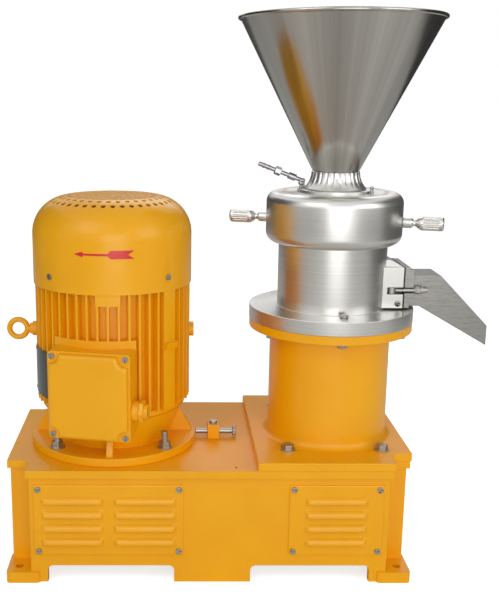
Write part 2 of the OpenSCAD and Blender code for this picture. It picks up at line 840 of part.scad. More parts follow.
// The solid of one radius profile on the mill axis, from z0 up
module disc(r, z0, z1) translate([0, 0, z0]) cylinder(r = r, h = z1 - z0);

module outlet_cut() {
  translate([0, -duct_w / 2, duct_z]) cube([2 * outlet_out, duct_w, duct_h]);
}

module grinding_chamber() color(steel) at_mill() {
  wedge = 12;
  slot_y = pin_y + 1.1 * swing_d;
  difference() {
    union() {
      disc(chamber_flange_r, chamber_z, body_z);
      disc(chamber_r, chamber_z, shoulder_z);
      disc(neck_r, chamber_z, neck_top_z);
      translate([0, -outlet_w / 2, outlet_z]) cube([outlet_out, outlet_w, outlet_h]);
      translate([0, outlet_w / 2 - wedge, outlet_z + outlet_h]) rotate([90, 0, 0])
        linear_extrude(outlet_w - 2 * wedge) polygon([[0, -over], [outlet_out, -over],
          [outlet_out, 0], [chamber_r, wedge], [0, wedge]]);
    }
    disc(cap_r + over, chamber_z - over, cap_recess_z);
    disc(seal_r, chamber_z, shoulder_z);
    disc(cavity_r, cavity_z, cavity_top_z);
    disc(guide_r, cavity_z, ring_top_z);
    outlet_cut();
    translate([pin_x - 1.1 * swing_d, -outlet_w, swing_z - slot_h / 2])
      cube([outlet_out, outlet_w + slot_y, slot_h]);
    translate([pin_x, pin_y, swing_z - 1.25 * slot_h]) cylinder(r = pin_r, h = 2.5 * slot_h);
    around(chamber_bolt_count, chamber_bolt_r, 30)
      disc(chamber_bolt_d / 2, chamber_z - over, body_z - chamber_flange_t / 4);
    at_guide_pins() cylinder(r = guide_pin_r, h = chamber_r);
    at_flange_screw() translate([0, 0, -lock_d]) cylinder(d = lock_d, h = 2 * lock_d);
    at_pin_screw() translate([0, 0, -lock_d]) cylinder(d = small_screw_d, h = 2 * lock_d);
  }
}

module at_flange_screw() rotate(-87) translate([chamber_r + 1.6 * lock_d, 0, body_z]) children();

module at_pin_screw() translate([pin_x + 1.2 * lock_d, -outlet_w / 2, outlet_z + 1.4 * small_screw_d])
  rotate([90, 0, 0]) children();

module at_guide_pins() {
  for (a = [90, 270]) rotate(a) translate([stator_r + carrier_wall / 3, 0, guide_pin_z])
    rotate([0, 90, 0]) children();
}

module guide_pins() color(steel) at_mill() at_guide_pins()
  cylinder(r = guide_pin_r, h = neck_r - stator_r - carrier_wall / 3);

module chamber_bolts() color(zinc) at_mill() {
  around(chamber_bolt_count, chamber_bolt_r, 30) translate([0, 0, head_flange_z]) mirror([0, 0, 1])
    hex_bolt(chamber_bolt_d, head_flange_t + chamber_flange_t / 2);
  at_flange_screw() hex_bolt(lock_d, lock_d);
  at_pin_screw() pan_screw(small_screw_d, lock_d);
}

module seal_seat() color(iron) at_mill(cap_recess_z) tube(seal_r, cap_lip_r, cavity_z - cap_recess_z);

module seal_ring() color(steel) at_mill(cavity_z + air_gap) {
  tube(seal_r - over, bearing_bore_r, seal_ring_h / 2);
  tube(seal_r - 3 * over, bearing_bore_r, seal_ring_h);
}

// Slots cut along a cone of the given radius at height z, slanting one way round
module tooth_slots(count, r, z, l, w, slant, shift) {
  rotate(shift) around(count, r) translate([0, 0, z]) rotate([0, -rotor_half_angle, 0])
    rotate([slant, 0, 0]) translate([-tooth_depth, -w / 2, -l / 2]) cube([2 * tooth_depth, w, l]);
}

// Both sets of slots of a cone that is grow wider than the rotor
module tooth_sets(grow, slant) {
  coarse_l = 0.62 * rotor_h;
  fine_l = 0.56 * rotor_h;
  coarse_z = rotor_z + 0.74 * rotor_h;
  fine_z = rotor_z + 0.22 * rotor_h;
  coarse_w = 2 * PI * rotor_top_r / coarse_teeth / 2.4;
  fine_w = 2 * PI * rotor_r / fine_teeth / 2.6;
  coarse_r = rotor_r - 0.74 * (rotor_r - rotor_top_r) + grow;
  fine_r = rotor_r - 0.22 * (rotor_r - rotor_top_r) + grow;
  tooth_slots(coarse_teeth, coarse_r, coarse_z, coarse_l, coarse_w, slant, 0);
  tooth_slots(fine_teeth, fine_r, fine_z, fine_l, fine_w, slant, 180 / fine_teeth);
}

module rotor() color(steel) at_mill() difference() {
  translate([0, 0, rotor_z]) cylinder(r1 = rotor_r, r2 = rotor_top_r, h = rotor_h);
  disc(shaft_top_r, rotor_z - over, rotor_top_z + over);
  tooth_sets(0, tooth_slant);
}

module rotor_nut() color(steel) at_mill(rotor_top_z) {
  nut_r = 1.8 * shaft_thread_r;
  difference() {
    union() {
      cylinder(r = nut_r, h = shaft_thread_r, $fn = 6);
      translate([0, 0, shaft_thread_r]) cylinder(r1 = nut_r * 0.84, r2 = shaft_thread_r / 2, h = 2 * shaft_thread_r);
    }
    translate([0, 0, -over]) cylinder(r = shaft_thread_r, h = 2 * shaft_thread_r + over);
  }
}

module stator() color(steel) at_mill() {
  cone_h = carrier_disc_z - rotor_z + over;
  cone_top_r = rotor_r + rotor_gap_r - cone_h * tan(rotor_half_angle);
  difference() {
    disc(stator_r, carrier_z, carrier_disc_z);
    translate([0, 0, rotor_z]) cylinder(r1 = rotor_r + rotor_gap_r, r2 = cone_top_r, h = cone_h);
    tooth_sets(rotor_gap_r, -tooth_slant);
  }
}

module stator_carrier() color(steel) at_mill() {
  spout_r = throat_r + 4;
  difference() {
    union() {
      disc(carrier_r, carrier_z, carrier_top_z);
      disc(boss_r, carrier_disc_z, boss_top_z);
      disc(spout_r, carrier_disc_z, boss_top_z + 0.55 * union_h);
    }
    disc(stator_r, carrier_z - over, carrier_disc_z);
    disc(throat_r, carrier_z, hopper_z);
    translate([0, 0, seal_cord_z - seal_cord_r * 1.1]) difference() {
      cylinder(r = guide_r + over, h = 2.2 * seal_cord_r);
      translate([0, 0, -over]) cylinder(r = carrier_r - 2.1 * seal_cord_r, h = 3 * seal_cord_r + over);
    }
    for (a = [90, 270]) rotate(a)
      translate([stator_r + carrier_wall / 4, -guide_pin_r - run_fit, guide_pin_z - guide_pin_r - 1.5 * stator_lift])
        cube([guide_r, 2 * (guide_pin_r + run_fit), 2 * guide_pin_r + 2 * stator_lift]);
  }
}

module carrier_seal() color(rubber) at_mill(seal_cord_z)
  rotate_extrude() translate([carrier_r - seal_cord_r, 0]) circle(r = seal_cord_r);

module adjusting_ring() color(steel) at_mill() {
  core_r = ring_r - ring_round;
  difference() {
    union() {
      disc(core_r, ring_z, ring_top_z);
      disc(ring_r, ring_z + ring_round, ring_top_z - ring_round);
      for (z = [ring_z + ring_round, ring_top_z - ring_round]) translate([0, 0, z])
        rotate_extrude() translate([core_r, 0]) circle(r = ring_round);
    }
    disc(neck_r + air_gap, ring_z - over, ring_top_z - ring_top_t);
    disc(boss_r + air_gap, ring_z, ring_top_z + over);
    for (a = [-handle_angle, 180 - handle_angle]) rotate(a)
      translate([handle_hole_r, 0, handle_z]) rotate([0, 90, 0])
        cylinder(r = handle_thread_d / 2 + run_fit, h = ring_r);
    rotate(nipple_angle) translate([nipple_r, 0, ring_top_z - ring_top_t / 2])
      cylinder(r = nipple_stem_r, h = ring_top_t);
  }
}

// A turned handle along +X: threaded stem, collar, waist and fluted grip
module handle() {
  grip_x = handle_tip - grip_l;
  collar_x = ring_r + air_gap;
  waist_x = collar_x + stem_l;
  rotate([0, 90, 0]) {
    translate([0, 0, handle_hole_r + over]) cylinder(d = handle_thread_d, h = collar_x - handle_hole_r);
    translate([0, 0, collar_x]) cylinder(r = stem_r, h = stem_l * 0.8);
    translate([0, 0, collar_x + stem_l * 0.8]) cylinder(r1 = stem_r, r2 = waist_r, h = stem_l * 0.2);
    translate([0, 0, waist_x]) cylinder(r1 = waist_r, r2 = grip_d / 2 - over, h = grip_x - waist_x);
    difference() {
      translate([0, 0, grip_x]) cylinder(d = grip_d, h = grip_l - 2 * over);
      around(18, grip_d / 2 + 0.3 * over) translate([0, 0, grip_x + 3 * over])
        cylinder(r = over, h = grip_l - 8 * over);
    }
    translate([0, 0, handle_tip - 2 * over])
      cylinder(r1 = grip_d / 2, r2 = grip_d / 2 - 2 * over, h = 2 * over);
  }
}

module right_handle() color(steel) at_mill(handle_z) rotate(-handle_angle) handle();
module left_handle() color(steel) at_mill(handle_z) rotate(180 - handle_angle) handle();

module grease_nipple() color(steel) at_mill() rotate(nipple_angle) translate([nipple_r, 0, 0]) {
  disc(nipple_stem_r, ring_top_z - ring_top_t / 2, ring_top_z + 4 * nipple_stem_r);
  translate([0, 0, ring_top_z]) cylinder(r = 1.8 * nipple_stem_r, h = 1.2 * nipple_stem_r, $fn = 6);
  translate([0, 0, ring_top_z + 4 * nipple_stem_r]) sphere(r = 1.3 * nipple_stem_r);
}

// The children at the nozzle's foot, and along its rising tail as +Z
module at_nozzle() at_mill(boss_top_z) rotate(nozzle_foot_angle) translate([nozzle_foot_r, 0, 0])
  rotate(-nozzle_foot_angle) children();

module water_nozzle() color(steel) at_nozzle() difference() {
  union() {
    cylinder(r = 1.35 * nozzle_r, h = nozzle_r, $fn = 6);
    cylinder(r = nozzle_r, h = nozzle_foot_h);
    translate([0, 0, nozzle_foot_h]) sphere(r = 1.2 * nozzle_r);
    translate([0, 0, nozzle_foot_h]) rotate([0, nozzle_rise_angle - 90, 0]) {
      cylinder(r = nozzle_r, h = nozzle_l);
      translate([0, 0, 0.16 * nozzle_l]) cylinder(r = 1.6 * nozzle_r, h = 0.16 * nozzle_l);
      translate([0, 0, 0.5 * nozzle_l]) cylinder(r = 2 * nozzle_r, h = 0.13 * nozzle_l, $fn = 6);
      for (s = [0.76, 0.86]) translate([0, 0, s * nozzle_l])
        cylinder(r1 = 1.25 * nozzle_r, r2 = nozzle_r, h = 0.08 * nozzle_l);
    }
  }
  translate([0, 0, nozzle_foot_h]) rotate([0, nozzle_rise_angle - 90, 0])
    cylinder(r = nozzle_r / 2, h = nozzle_l + over);
}

module vent_plug() color(steel) at_mill(boss_top_z) rotate(vent_angle)
  translate([nozzle_foot_r, 0, 0]) {
    cylinder(r = nozzle_r * 0.6, h = 2 * nozzle_r);
    translate([0, 0, 2.3 * nozzle_r]) sphere(r = 1.2 * nozzle_r);
  }

module hopper_nut() color(steel) at_mill() {
  ferrule_r = union_top_r - 4;
  rim_h = 3;
  reach = union_h - rim_h;
  flare = union_foot_r - union_top_r;
  flare_r = (reach * reach + flare * flare) / (2 * flare);
  difference() {
    translate([0, 0, boss_top_z]) rotate_extrude() difference() {
      square([union_foot_r, union_h]);
      translate([union_top_r + flare_r, union_h]) circle(r = flare_r);
    }
    disc(ferrule_r + air_gap, boss_top_z - over, hopper_z - 2 * rim_h);
    disc(throat_r + 5, boss_top_z, hopper_z + over);
    around(18, union_top_r + 1.2 * over) disc(2.2 * over, boss_top_z + 2 * rim_h, hopper_z + over);
  }
}

// The hopper's section to the right of the mill axis
module hopper() color(steel) at_mill() {
  tube_r = throat_r + 0.5;
  tube_out_r = throat_r + 4;
  ferrule_r = union_top_r - 4;
  ferrule_z = boss_top_z + 0.55 * union_h;
  ferrule_top = hopper_z - 6 * over;
  mouth_r = hopper_r - bead_r;
  top_z = hopper_z + hopper_h;
  half_angle = atan((mouth_r - hopper_foot_r) / hopper_h);
  side_t = hopper_t / cos(half_angle);
  rotate_extrude() polygon([
    [tube_r, ferrule_z], [ferrule_r, ferrule_z], [ferrule_r, ferrule_top],
    [tube_out_r, ferrule_top], [tube_out_r, hopper_z], [hopper_foot_r, hopper_z],
    [mouth_r, top_z], [mouth_r - side_t, top_z],
    [hopper_foot_r - side_t + hopper_t * tan(half_angle), hopper_z + hopper_t],
    [tube_r, hopper_z + hopper_t]
  ]);
  translate([0, 0, top_z]) rotate_extrude() translate([mouth_r, 0]) circle(r = bead_r);
}

// Outlet

// The way the swing bolt takes out of the front, over a length l from x
module bolt_way(x, l) translate([x - over, -outlet_w, swing_z - 0.6 * swing_d])
  cube([l + 2 * over, outlet_w + pin_y + 0.7 * swing_d, 1.2 * swing_d]);

module outlet_gasket() color(rubber) at_mill() difference() {
  translate([gasket_x, -outlet_w / 2, outlet_z]) cube([gasket_t, outlet_w, outlet_h]);
  outlet_cut();
  bolt_way(gasket_x, gasket_t);
}

// The chute's side outline, moved inwards by t
function chute_outline(t) = let (
    top = outlet_z + outlet_h * 0.77,
    low = outlet_z + over,
    x0 = chute_x,
    x1 = x0 + chute_flange_t + chute_level_l,
    x2 = x1 + chute_slope_l,
    x3 = x0 + 3 * chute_flange_t,
    end_top = top - chute_drop,
    end_low = end_top - chute_end_h,
    top_angle = atan(chute_drop / chute_slope_l),
    low_angle = atan((low - end_low) / (x2 - x3))
  ) [
    [x0 - (t > 0 ? over : 0), top - t],
    [x1 - t * tan(top_angle / 2), top - t],
    [x2 + (t > 0 ? over : 0), end_top - t / cos(top_angle) - (t > 0 ? over * tan(top_angle) : 0)],
    [x2 + (t > 0 ? over : 0), end_low + t / cos(low_angle) - (t > 0 ? over * tan(low_angle) : 0)],
    [x3 - t * tan(low_angle / 2), low + t],
    [x0 - (t > 0 ? over : 0), low + t]
  ];

module chute_prism(w, t) translate([0, w / 2, 0]) rotate([90, 0, 0])
  linear_extrude(w) polygon(chute_outline(t));

module chute() color(steel) at_mill() {
  ear_y = pin_y - ear_front;
  ear_d = ear_front + 2.2 * swing_d;
  difference() {
    union() {
      chute_prism(chute_w, 0);
      translate([chute_x, -outlet_w / 2, outlet_z]) cube([chute_flange_t, outlet_w, outlet_h]);
      translate([chute_x, ear_y, swing_z - ear_low]) cube([ear_t, ear_d, ear_low + ear_high]);
    }
    chute_prism(chute_w - 2 * chute_t, chute_t);
    bolt_way(chute_x, ear_t);
    translate([chute_x - over, -outlet_w, outlet_z - over])
      cube([ear_t + 2 * over, outlet_w + ear_y, outlet_h + 2 * over]);
  }
}

module swing_bolt_pin() color(zinc) at_mill()
  translate([pin_x, pin_y, swing_z - 1.25 * slot_h]) cylinder(r = pin_r, h = 2.5 * slot_h);

module swing_bolt() color(zinc) at_mill() translate([pin_x, pin_y, swing_z]) difference() {
  union() {
    translate([0, 0, -slot_h / 2 + air_gap]) cylinder(r = swing_d * 0.85, h = slot_h - 2 * air_gap);
    rotate([0, 90, 0]) cylinder(d = swing_d, h = swing_l);
  }
  translate([0, 0, -slot_h]) cylinder(r = pin_r + run_fit, h = 2 * slot_h);
}

module clamp_nut() color(zinc) at_mill()
  translate([chute_x + ear_t + air_gap, pin_y, swing_z]) rotate([0, 90, 0]) difference() {
    union() {
      cylinder(r = nut_nose_r, h = clamp_l);
      translate([0, 0, nut_nose_l]) cylinder(r = swing_d * hex_share, h = swing_d, $fn = 6);
    }
    translate([0, 0, -over]) cylinder(r = swing_d / 2 + run_fit, h = clamp_l + 2 * over);
  }

// Motor

module at_studs() around(4, motor_pcd / 2, 45) children();

module motor_end_shield() color(enamel) at_motor() {
  rib_h = 50;
  rib_t = 12;
  rib_out = motor_flange_r - 8;
  lip = motor_flange_t / 3;
  difference() {
    union() {
      disc(spigot_r, base_h - lip, base_h);
      disc(motor_flange_r, base_h, shield_z);
      translate([0, 0, shield_z]) cylinder(r1 = bell_foot_r, r2 = bell_top_r, h = 0.86 * shield_h);
      disc(bell_top_r, shield_z + 0.86 * shield_h - over, frame_z);
      for (a = [0:90:270]) rotate(a) translate([0, rib_t / 2, shield_z]) rotate([90, 0, 0])
        linear_extrude(rib_t) polygon([
          [bell_foot_r - rib_t, -over], [rib_out, -over], [rib_out, lip],
          [bell_top_r - rib_t, rib_h], [bell_foot_r - rib_t, rib_h]]);
    }
    difference() {
      translate([0, 0, end_bearing_z + bearing_w / 2])
        cylinder(r1 = bell_foot_r - 2 * rib_t, r2 = frame_bore_r, h = frame_z - end_bearing_z - bearing_w / 2 + over);
      disc(hub_r, base_h, end_bearing_z + bearing_w + lip);
    }
    disc(bearing_r, end_bearing_z, frame_z);
    disc(motor_shaft_d / 2 + 2, base_h - 2 * lip, frame_z);
    at_studs() disc(motor_stud_d / 2 + over, base_h - over, shield_z + over);
  }
}

module motor_frame() color(enamel) at_motor() {
  lug_angle = -42;
  lug_w = 28;
  lug_z = frame_z + frame_h / 2 - 2;
  top_pad_w = 42;
  difference() {
    union() {
      disc(frame_root_r, frame_z, frame_top_z);
      intersection() {
        disc(pad_r, frame_z, frame_top_z);
        union() {
          around(fin_count, 0) translate([frame_root_r - over, -fin_t / 2, frame_z - over])
            cube([fin_h + over, fin_t, frame_h + 2 * over]);
          rotate(-90 - tbox_angle) translate([0, -tbox_w / 2, frame_z - over])
            cube([cowl_r, tbox_w, tbox_pad_h + over]);
          rotate(lug_angle) translate([0, -lug_w / 2, frame_z - over])
            cube([cowl_r, lug_w, frame_h + 2 * over]);
          rotate(-90) translate([0, -top_pad_w / 2, frame_top_z - top_pad_w / 2])
            cube([cowl_r, top_pad_w, top_pad_w]);
        }
      }
      rotate(lug_angle) translate([0, lug_w / 2, lug_z]) rotate([90, 0, 0]) linear_extrude(lug_w)
        polygon([[frame_root_r - over, 0], [boss_out - 2 * over, fin_h / 3], [boss_out, fin_h],
          [frame_root_r - over, 1.4 * fin_h]]);
      for (a = [0, 180]) rotate(a) translate([frame_root_r - over, 0, eye_z]) rotate([0, 90, 0])
        cylinder(r = eye_boss_r, h = boss_out - frame_root_r + over);
    }
    disc(frame_bore_r, frame_z - over, frame_top_z + over);
    rotate(180) translate([frame_root_r + over, 0, eye_z]) rotate([0, 90, 0])
      cylinder(r = eye_wire_r, h = boss_out);
    rotate(-90 - tbox_angle) translate([frame_bore_r - fin_h, 0, tbox_z + tbox_h / 2]) rotate([0, 90, 0])
      cylinder(r = gland_d / 2, h = frame_r);
  }
}

module motor_rear_shield() color(enamel) at_motor() difference() {
  union() {
    disc(frame_root_r + over, frame_top_z, frame_top_z + rear_shield_t);
    disc(hub_r, rear_bearing_z, frame_top_z + rear_shield_t);
    around(4, 0, 45) translate([cowl_lug_r, -fin_h, frame_top_z]) intersection() {
      cube([cowl_r, 2 * fin_h, cowl_lug_h]);
      translate([-cowl_lug_r, fin_h, 0]) cylinder(r = cowl_r - cowl_t - air_gap, h = cowl_lug_h);
    }
  }
  disc(bearing_r, rear_bearing_z - over, rear_bearing_z + bearing_w);
  disc(cap_lip_r, rear_bearing_z, fan_z);
  at_cowl_screws() translate([0, 0, -2 * small_screw_d]) cylinder(d = small_screw_d, h = 2 * small_screw_d);
}

// The children at each cowl screw, pointing out of the cowl
module at_cowl_screws() {
  for (a = [45:90:315]) rotate(a) translate([cowl_r, 0, cowl_screw_z]) rotate([0, 90, 0]) children();
}

module motor_stator_core() at_motor() {
  color(iron) disc_ring(frame_bore_r, core_r, core_z, core_z + core_h);
  color(copper) for (z = [core_z - coil_h, core_z + core_h])
    disc_ring(frame_bore_r - coil_h / 2, core_r + coil_h / 3, z, z + coil_h);
}

module disc_ring(r_out, r_in, z0, z1) translate([0, 0, z0]) tube(r_out, r_in, z1 - z0);

module motor_rotor_core() color(iron) at_motor() {
  disc_ring(core_r - air_gap, shaft_mid_r, core_z, core_z + core_h);
  for (z = [core_z - coil_h / 2, core_z + core_h])
    disc_ring(core_r - coil_h / 4, core_r - coil_h, z, z + coil_h / 2);
}

module motor_shaft() color(steel) at_motor() {
  shaft_r = motor_shaft_d / 2;
  disc(shaft_r, pulley_z - over, end_bearing_z);
  disc(bearing_bore_r, end_bearing_z, rear_bearing_z + bearing_w);
  disc(shaft_mid_r, end_bearing_z + bearing_w, rear_bearing_z);
  disc(shaft_r - 1, rear_bearing_z, fan_z + fan_h);
}

module motor_bearing_outer_rings() color(steel)
  for (z = [end_bearing_z, rear_bearing_z]) at_motor(z) outer_race();

module motor_bearing_inner_sets() color(steel)
  for (z = [end_bearing_z, rear_bearing_z]) at_motor(z) inner_set();

module cooling_fan() color(plastic) at_motor(fan_z) difference() {
  union() {
    cylinder(r = fan_r, h = fan_t);
    cylinder(r = fan_hub_r, h = fan_h);
    around(fan_blades, 0) translate([fan_hub_r - over, -fan_t / 2, fan_t - over])
      cube([fan_r - fan_hub_r, fan_t, fan_h - fan_t]);
  }
  translate([0, 0, -over]) cylinder(r = motor_shaft_d / 2 - 1, h = fan_h + 2 * over);
}

// A round cap: a drum with a rounded shoulder, standing on the XY plane
module domed(r, h, shoulder) {
  cylinder(r = r, h = h - shoulder);
  cylinder(r = r - shoulder, h = h);
  translate([0, 0, h - shoulder]) rotate_extrude() translate([r - shoulder, 0]) intersection() {
    circle(r = shoulder);
    square([shoulder, shoulder]);
  }
}

module fan_cowl() color(enamel) at_motor(cowl_z) difference() {
  domed(cowl_r, cowl_h, cowl_round);
  translate([0, 0, -over]) domed(cowl_r - cowl_t, cowl_h - cowl_t + over, cowl_round - cowl_t);
  for (ring = [1:cowl_hole_rings]) around(6 * ring, ring * cowl_hole_pitch)
    translate([0, 0, cowl_h / 2]) cylinder(d = cowl_hole_d, h = cowl_h);
  translate([0, 0, -cowl_z]) at_cowl_screws()
    translate([0, 0, -2 * cowl_t]) cylinder(d = small_screw_d, h = 4 * cowl_t);
}

module motor_screws() color(zinc) {
  at_motor() at_cowl_screws() pan_screw(small_screw_d, 2 * small_screw_d);
  at_lid_screws() pan_screw(small_screw_d, lid_edge_t + small_screw_d);
}

module motor_studs() color(zinc) at_motor() at_studs() {
  head_h = motor_stud_d * head_share;
  stud_top = shield_z + motor_stud_h;
  disc(motor_stud_d / 2, top_under_z - air_gap - head_h, stud_top);
  translate([0, 0, top_under_z - air_gap - head_h])
    cylinder(r = motor_stud_d * hex_share, h = head_h, $fn = 6);
  disc(motor_stud_d * washer_share, shield_z, shield_z + washer_t);
  translate([0, 0, shield_z + washer_t])
    cylinder(r = motor_stud_d * hex_share, h = motor_stud_d * nut_share, $fn = 6);
}

// Terminal box: +X of its own frame points out of the lid, +Z is up
module at_tbox(z = 0) at_motor(z) rotate(-90 - tbox_angle) children();

module at_lid_screws() at_tbox() {
  for (sy = [-1, 1], z = [tbox_z + lid_screw_inset, tbox_z + tbox_h - lid_screw_inset])
    translate([tbox_out - lid_t + lid_edge_t, sy * (tbox_w / 2 - lid_screw_inset), z])
      rotate([0, 90, 0]) children();
}

// An upright plate of the box: x from x0 to x1, its upright outline rounded
module box_layer(x0, x1, inset, r) translate([x0, 0, tbox_z + tbox_h / 2]) rotate([90, 0, 90])
  rounded_plate(tbox_w - 2 * inset, tbox_h - 2 * inset, x1 - x0, r);

module terminal_box() color(enamel) difference() {
  at_tbox() box_layer(tbox_back, tbox_out - lid_t, 0, lid_corner_r / 2);
  at_motor() disc(pad_r, base_h, frame_top_z);
  at_tbox() box_layer(frame_r + tbox_wall / 2, tbox_out, tbox_wall + lid_screw_inset, lid_corner_r / 3);
  at_tbox() translate([frame_r - tbox_wall, 0, tbox_z + tbox_h / 2]) rotate([0, 90, 0])
    cylinder(r = gland_d / 2, h = lid_t);
  at_lid_screws() translate([0, 0, -lid_edge_t - small_screw_d])
    cylinder(d = small_screw_d, h = small_screw_d + over);
  at_tbox() translate([gland_x, tbox_w / 2 - 2 * tbox_wall - lid_screw_inset, tbox_z + gland_rise])
    rotate([-90, 0, 0]) cylinder(r = gland_d / 4, h = tbox_w);
}

module terminal_lid() color(enamel) difference() {
  at_tbox() {
    box_layer(tbox_out - lid_t, tbox_out - lid_t + lid_edge_t, 0, lid_corner_r / 2);
    box_layer(tbox_out - lid_t, tbox_out - lid_edge_t / 2, lid_edge_t / 2, lid_corner_r / 2);
    box_layer(tbox_out - lid_t, tbox_out, lid_edge_t, lid_corner_r / 2);
  }
  at_tbox() box_layer(tbox_out - lid_t - over, tbox_out - lid_edge_t, 2 * lid_screw_inset, lid_corner_r / 3);
  at_lid_screws() cylinder(r = lid_corner_r, h = lid_t);
  at_lid_screws() translate([0, 0, -lid_t]) cylinder(d = small_screw_d, h = 2 * lid_t);
}

module terminal_board() color(plastic) at_tbox(tbox_z + tbox_h / 2 + gland_d) {
  board_x = frame_r + tbox_wall / 2;
  board_t = 6;
  translate([board_x, -tbox_w / 4, -board_t * 3]) cube([board_t, tbox_w / 2, board_t * 6]);
  for (y = [-1:1], z = [-1, 1]) translate([board_x + board_t, y * tbox_w / 7, z * 1.5 * board_t])
    rotate([0, 90, 0]) cylinder(d = board_t - over, h = board_t);
}

module cable_gland() color(enamel) at_tbox(tbox_z + gland_rise)
  translate([gland_x, tbox_w / 2, 0]) rotate([-90, 0, 0]) {
    difference() {
      union() {
        cylinder(r = gland_d * 0.55, h = 0.45 * gland_l);
        translate([0, 0, 0.45 * gland_l]) cylinder(r = gland_d * 0.62, h = 0.3 * gland_l, $fn = 6);
        cylinder(r = gland_d * 0.4, h = gland_l);
      }
      translate([0, 0, -over]) cylinder(r = gland_d / 4, h = gland_l + 2 * over);
    }
  }

module eye_bolt() color(enamel) at_motor(eye_z) rotate(180) {
  ring_x = eye_out;
  translate([ring_x, 0, 0]) rotate([90, 0, 0]) rotate_extrude()
    translate([eye_ring_r, 0]) circle(r = eye_wire_r);
  rotate([0, 90, 0]) {
    translate([0, 0, frame_root_r + over])
      cylinder(r = eye_wire_r, h = ring_x - eye_ring_r - frame_root_r - over);
    translate([0, 0, boss_out]) cylinder(r = 2 * eye_wire_r, h = eye_wire_r);
  }
}

base_frame();
front_left_cover();
front_right_cover();
rear_left_cover();
rear_right_cover();
cover_screws();
bearing_housing();
base_bolts();
lower_bearing_cap();
upper_bearing_cap();
bearing_cap_screws();
mill_bearing_outer_rings();
mill_bearing_inner_sets();
main_shaft();
mill_pulley();
motor_pulley();
v_belts();
grinding_chamber();
chamber_bolts();
seal_seat();
seal_ring();
rotor();
rotor_nut();
stator();
stator_carrier();
carrier_seal();
guide_pins();
adjusting_ring();
left_handle();
right_handle();
grease_nipple();
water_nozzle();
vent_plug();
hopper_nut();
hopper();
outlet_gasket();
chute();
swing_bolt();
swing_bolt_pin();
clamp_nut();
motor_end_shield();
motor_frame();
motor_rear_shield();
motor_stator_core();
motor_rotor_core();
motor_shaft();
motor_bearing_outer_rings();
motor_bearing_inner_sets();
cooling_fan();
fan_cowl();
motor_screws();
terminal_box();
terminal_lid();
terminal_board();
cable_gland();
eye_bolt();
motor_studs();
jack_block();
jack_screw();
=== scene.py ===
"""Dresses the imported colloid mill: castings, turned steel, fasteners, floor, lamps and camera.

Lengths are in millimetres, as in the part's source, and become metres where a mesh is made.
"""

import json
import math

import bmesh
import bpy
import numpy as np
from bpy.props import FloatProperty, FloatVectorProperty, IntProperty, PointerProperty
from mathutils import Matrix, Vector

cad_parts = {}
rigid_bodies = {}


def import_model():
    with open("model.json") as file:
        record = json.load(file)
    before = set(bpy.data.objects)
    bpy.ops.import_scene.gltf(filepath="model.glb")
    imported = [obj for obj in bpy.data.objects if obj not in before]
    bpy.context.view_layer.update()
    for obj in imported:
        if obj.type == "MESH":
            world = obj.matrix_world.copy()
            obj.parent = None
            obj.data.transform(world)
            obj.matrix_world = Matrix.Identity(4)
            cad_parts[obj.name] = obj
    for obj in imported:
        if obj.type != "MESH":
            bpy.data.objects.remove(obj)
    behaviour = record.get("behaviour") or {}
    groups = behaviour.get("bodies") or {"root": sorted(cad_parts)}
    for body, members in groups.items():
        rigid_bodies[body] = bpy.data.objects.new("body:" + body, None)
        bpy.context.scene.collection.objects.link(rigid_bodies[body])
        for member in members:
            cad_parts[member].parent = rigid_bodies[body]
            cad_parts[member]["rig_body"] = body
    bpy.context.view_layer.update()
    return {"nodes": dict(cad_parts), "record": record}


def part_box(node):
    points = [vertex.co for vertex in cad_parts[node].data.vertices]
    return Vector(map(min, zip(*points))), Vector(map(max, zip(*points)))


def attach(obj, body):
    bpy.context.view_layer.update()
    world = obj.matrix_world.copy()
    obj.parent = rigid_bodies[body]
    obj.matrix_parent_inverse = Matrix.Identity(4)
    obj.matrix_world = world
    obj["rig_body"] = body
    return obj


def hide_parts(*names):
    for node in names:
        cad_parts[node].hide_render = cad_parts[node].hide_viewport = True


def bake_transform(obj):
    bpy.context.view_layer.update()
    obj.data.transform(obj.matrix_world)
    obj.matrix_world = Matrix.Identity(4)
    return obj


bl_info = {
    "name": "Colloid mill dressing",
    "version": (1, 0, 0),
    "blender": (4, 5, 0),
    "location": "View3D > Sidebar > Mill",
    "description": "Dresses a packed colloid mill with finished surfaces, a floor, lamps and a camera",
    "category": "Object",
}

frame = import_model()
MM = 0.001
TAU = 2 * math.pi


def span(node):
    """Lowest and highest corner of a CAD node at rest, in millimetres."""
    low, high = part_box(node)
    return np.array(low) / MM, np.array(high) / MM


def axis_of(node):
    """The upright axis of a round node: the middle of its box, seen from above."""
    low, high = span(node)
    return (low[:2] + high[:2]) / 2


COIL_H = 20.0  # height of a winding head above and below the iron stack
BOX_ANGLE = 11.5  # how far the terminal box is turned from the front, in degrees
LID_POINTS = 160  # points round the terminal lid, a multiple of four
LID_INSET = 3.0  # from the lid's edge to the foot of its raised front
LID_SCREW = 8.0  # from the lid's edge to its screws
LID_POCKET = 12.0  # radius of the hollow round each screw
LID_CORNER = 6.0  # radius of the lid's corners
SAME_PLANE = math.radians(0.6)  # triangles this close to flat are paired
PAIR_SHAPE = math.radians(60)
MILL_AXIS = axis_of("adjusting_ring")
MOTOR_AXIS = axis_of("motor_shaft")


def linear(code, alpha=1.0):
    """A colour written as an sRGB hex code, as the linear values that shaders work in."""
    value = np.array([int(code[i : i + 2], 16) for i in (1, 3, 5)]) / 255
    low, high = value / 12.92, ((value + 0.055) / 1.055) ** 2.4
    return (*np.where(value <= 0.04045, low, high).tolist(), alpha)


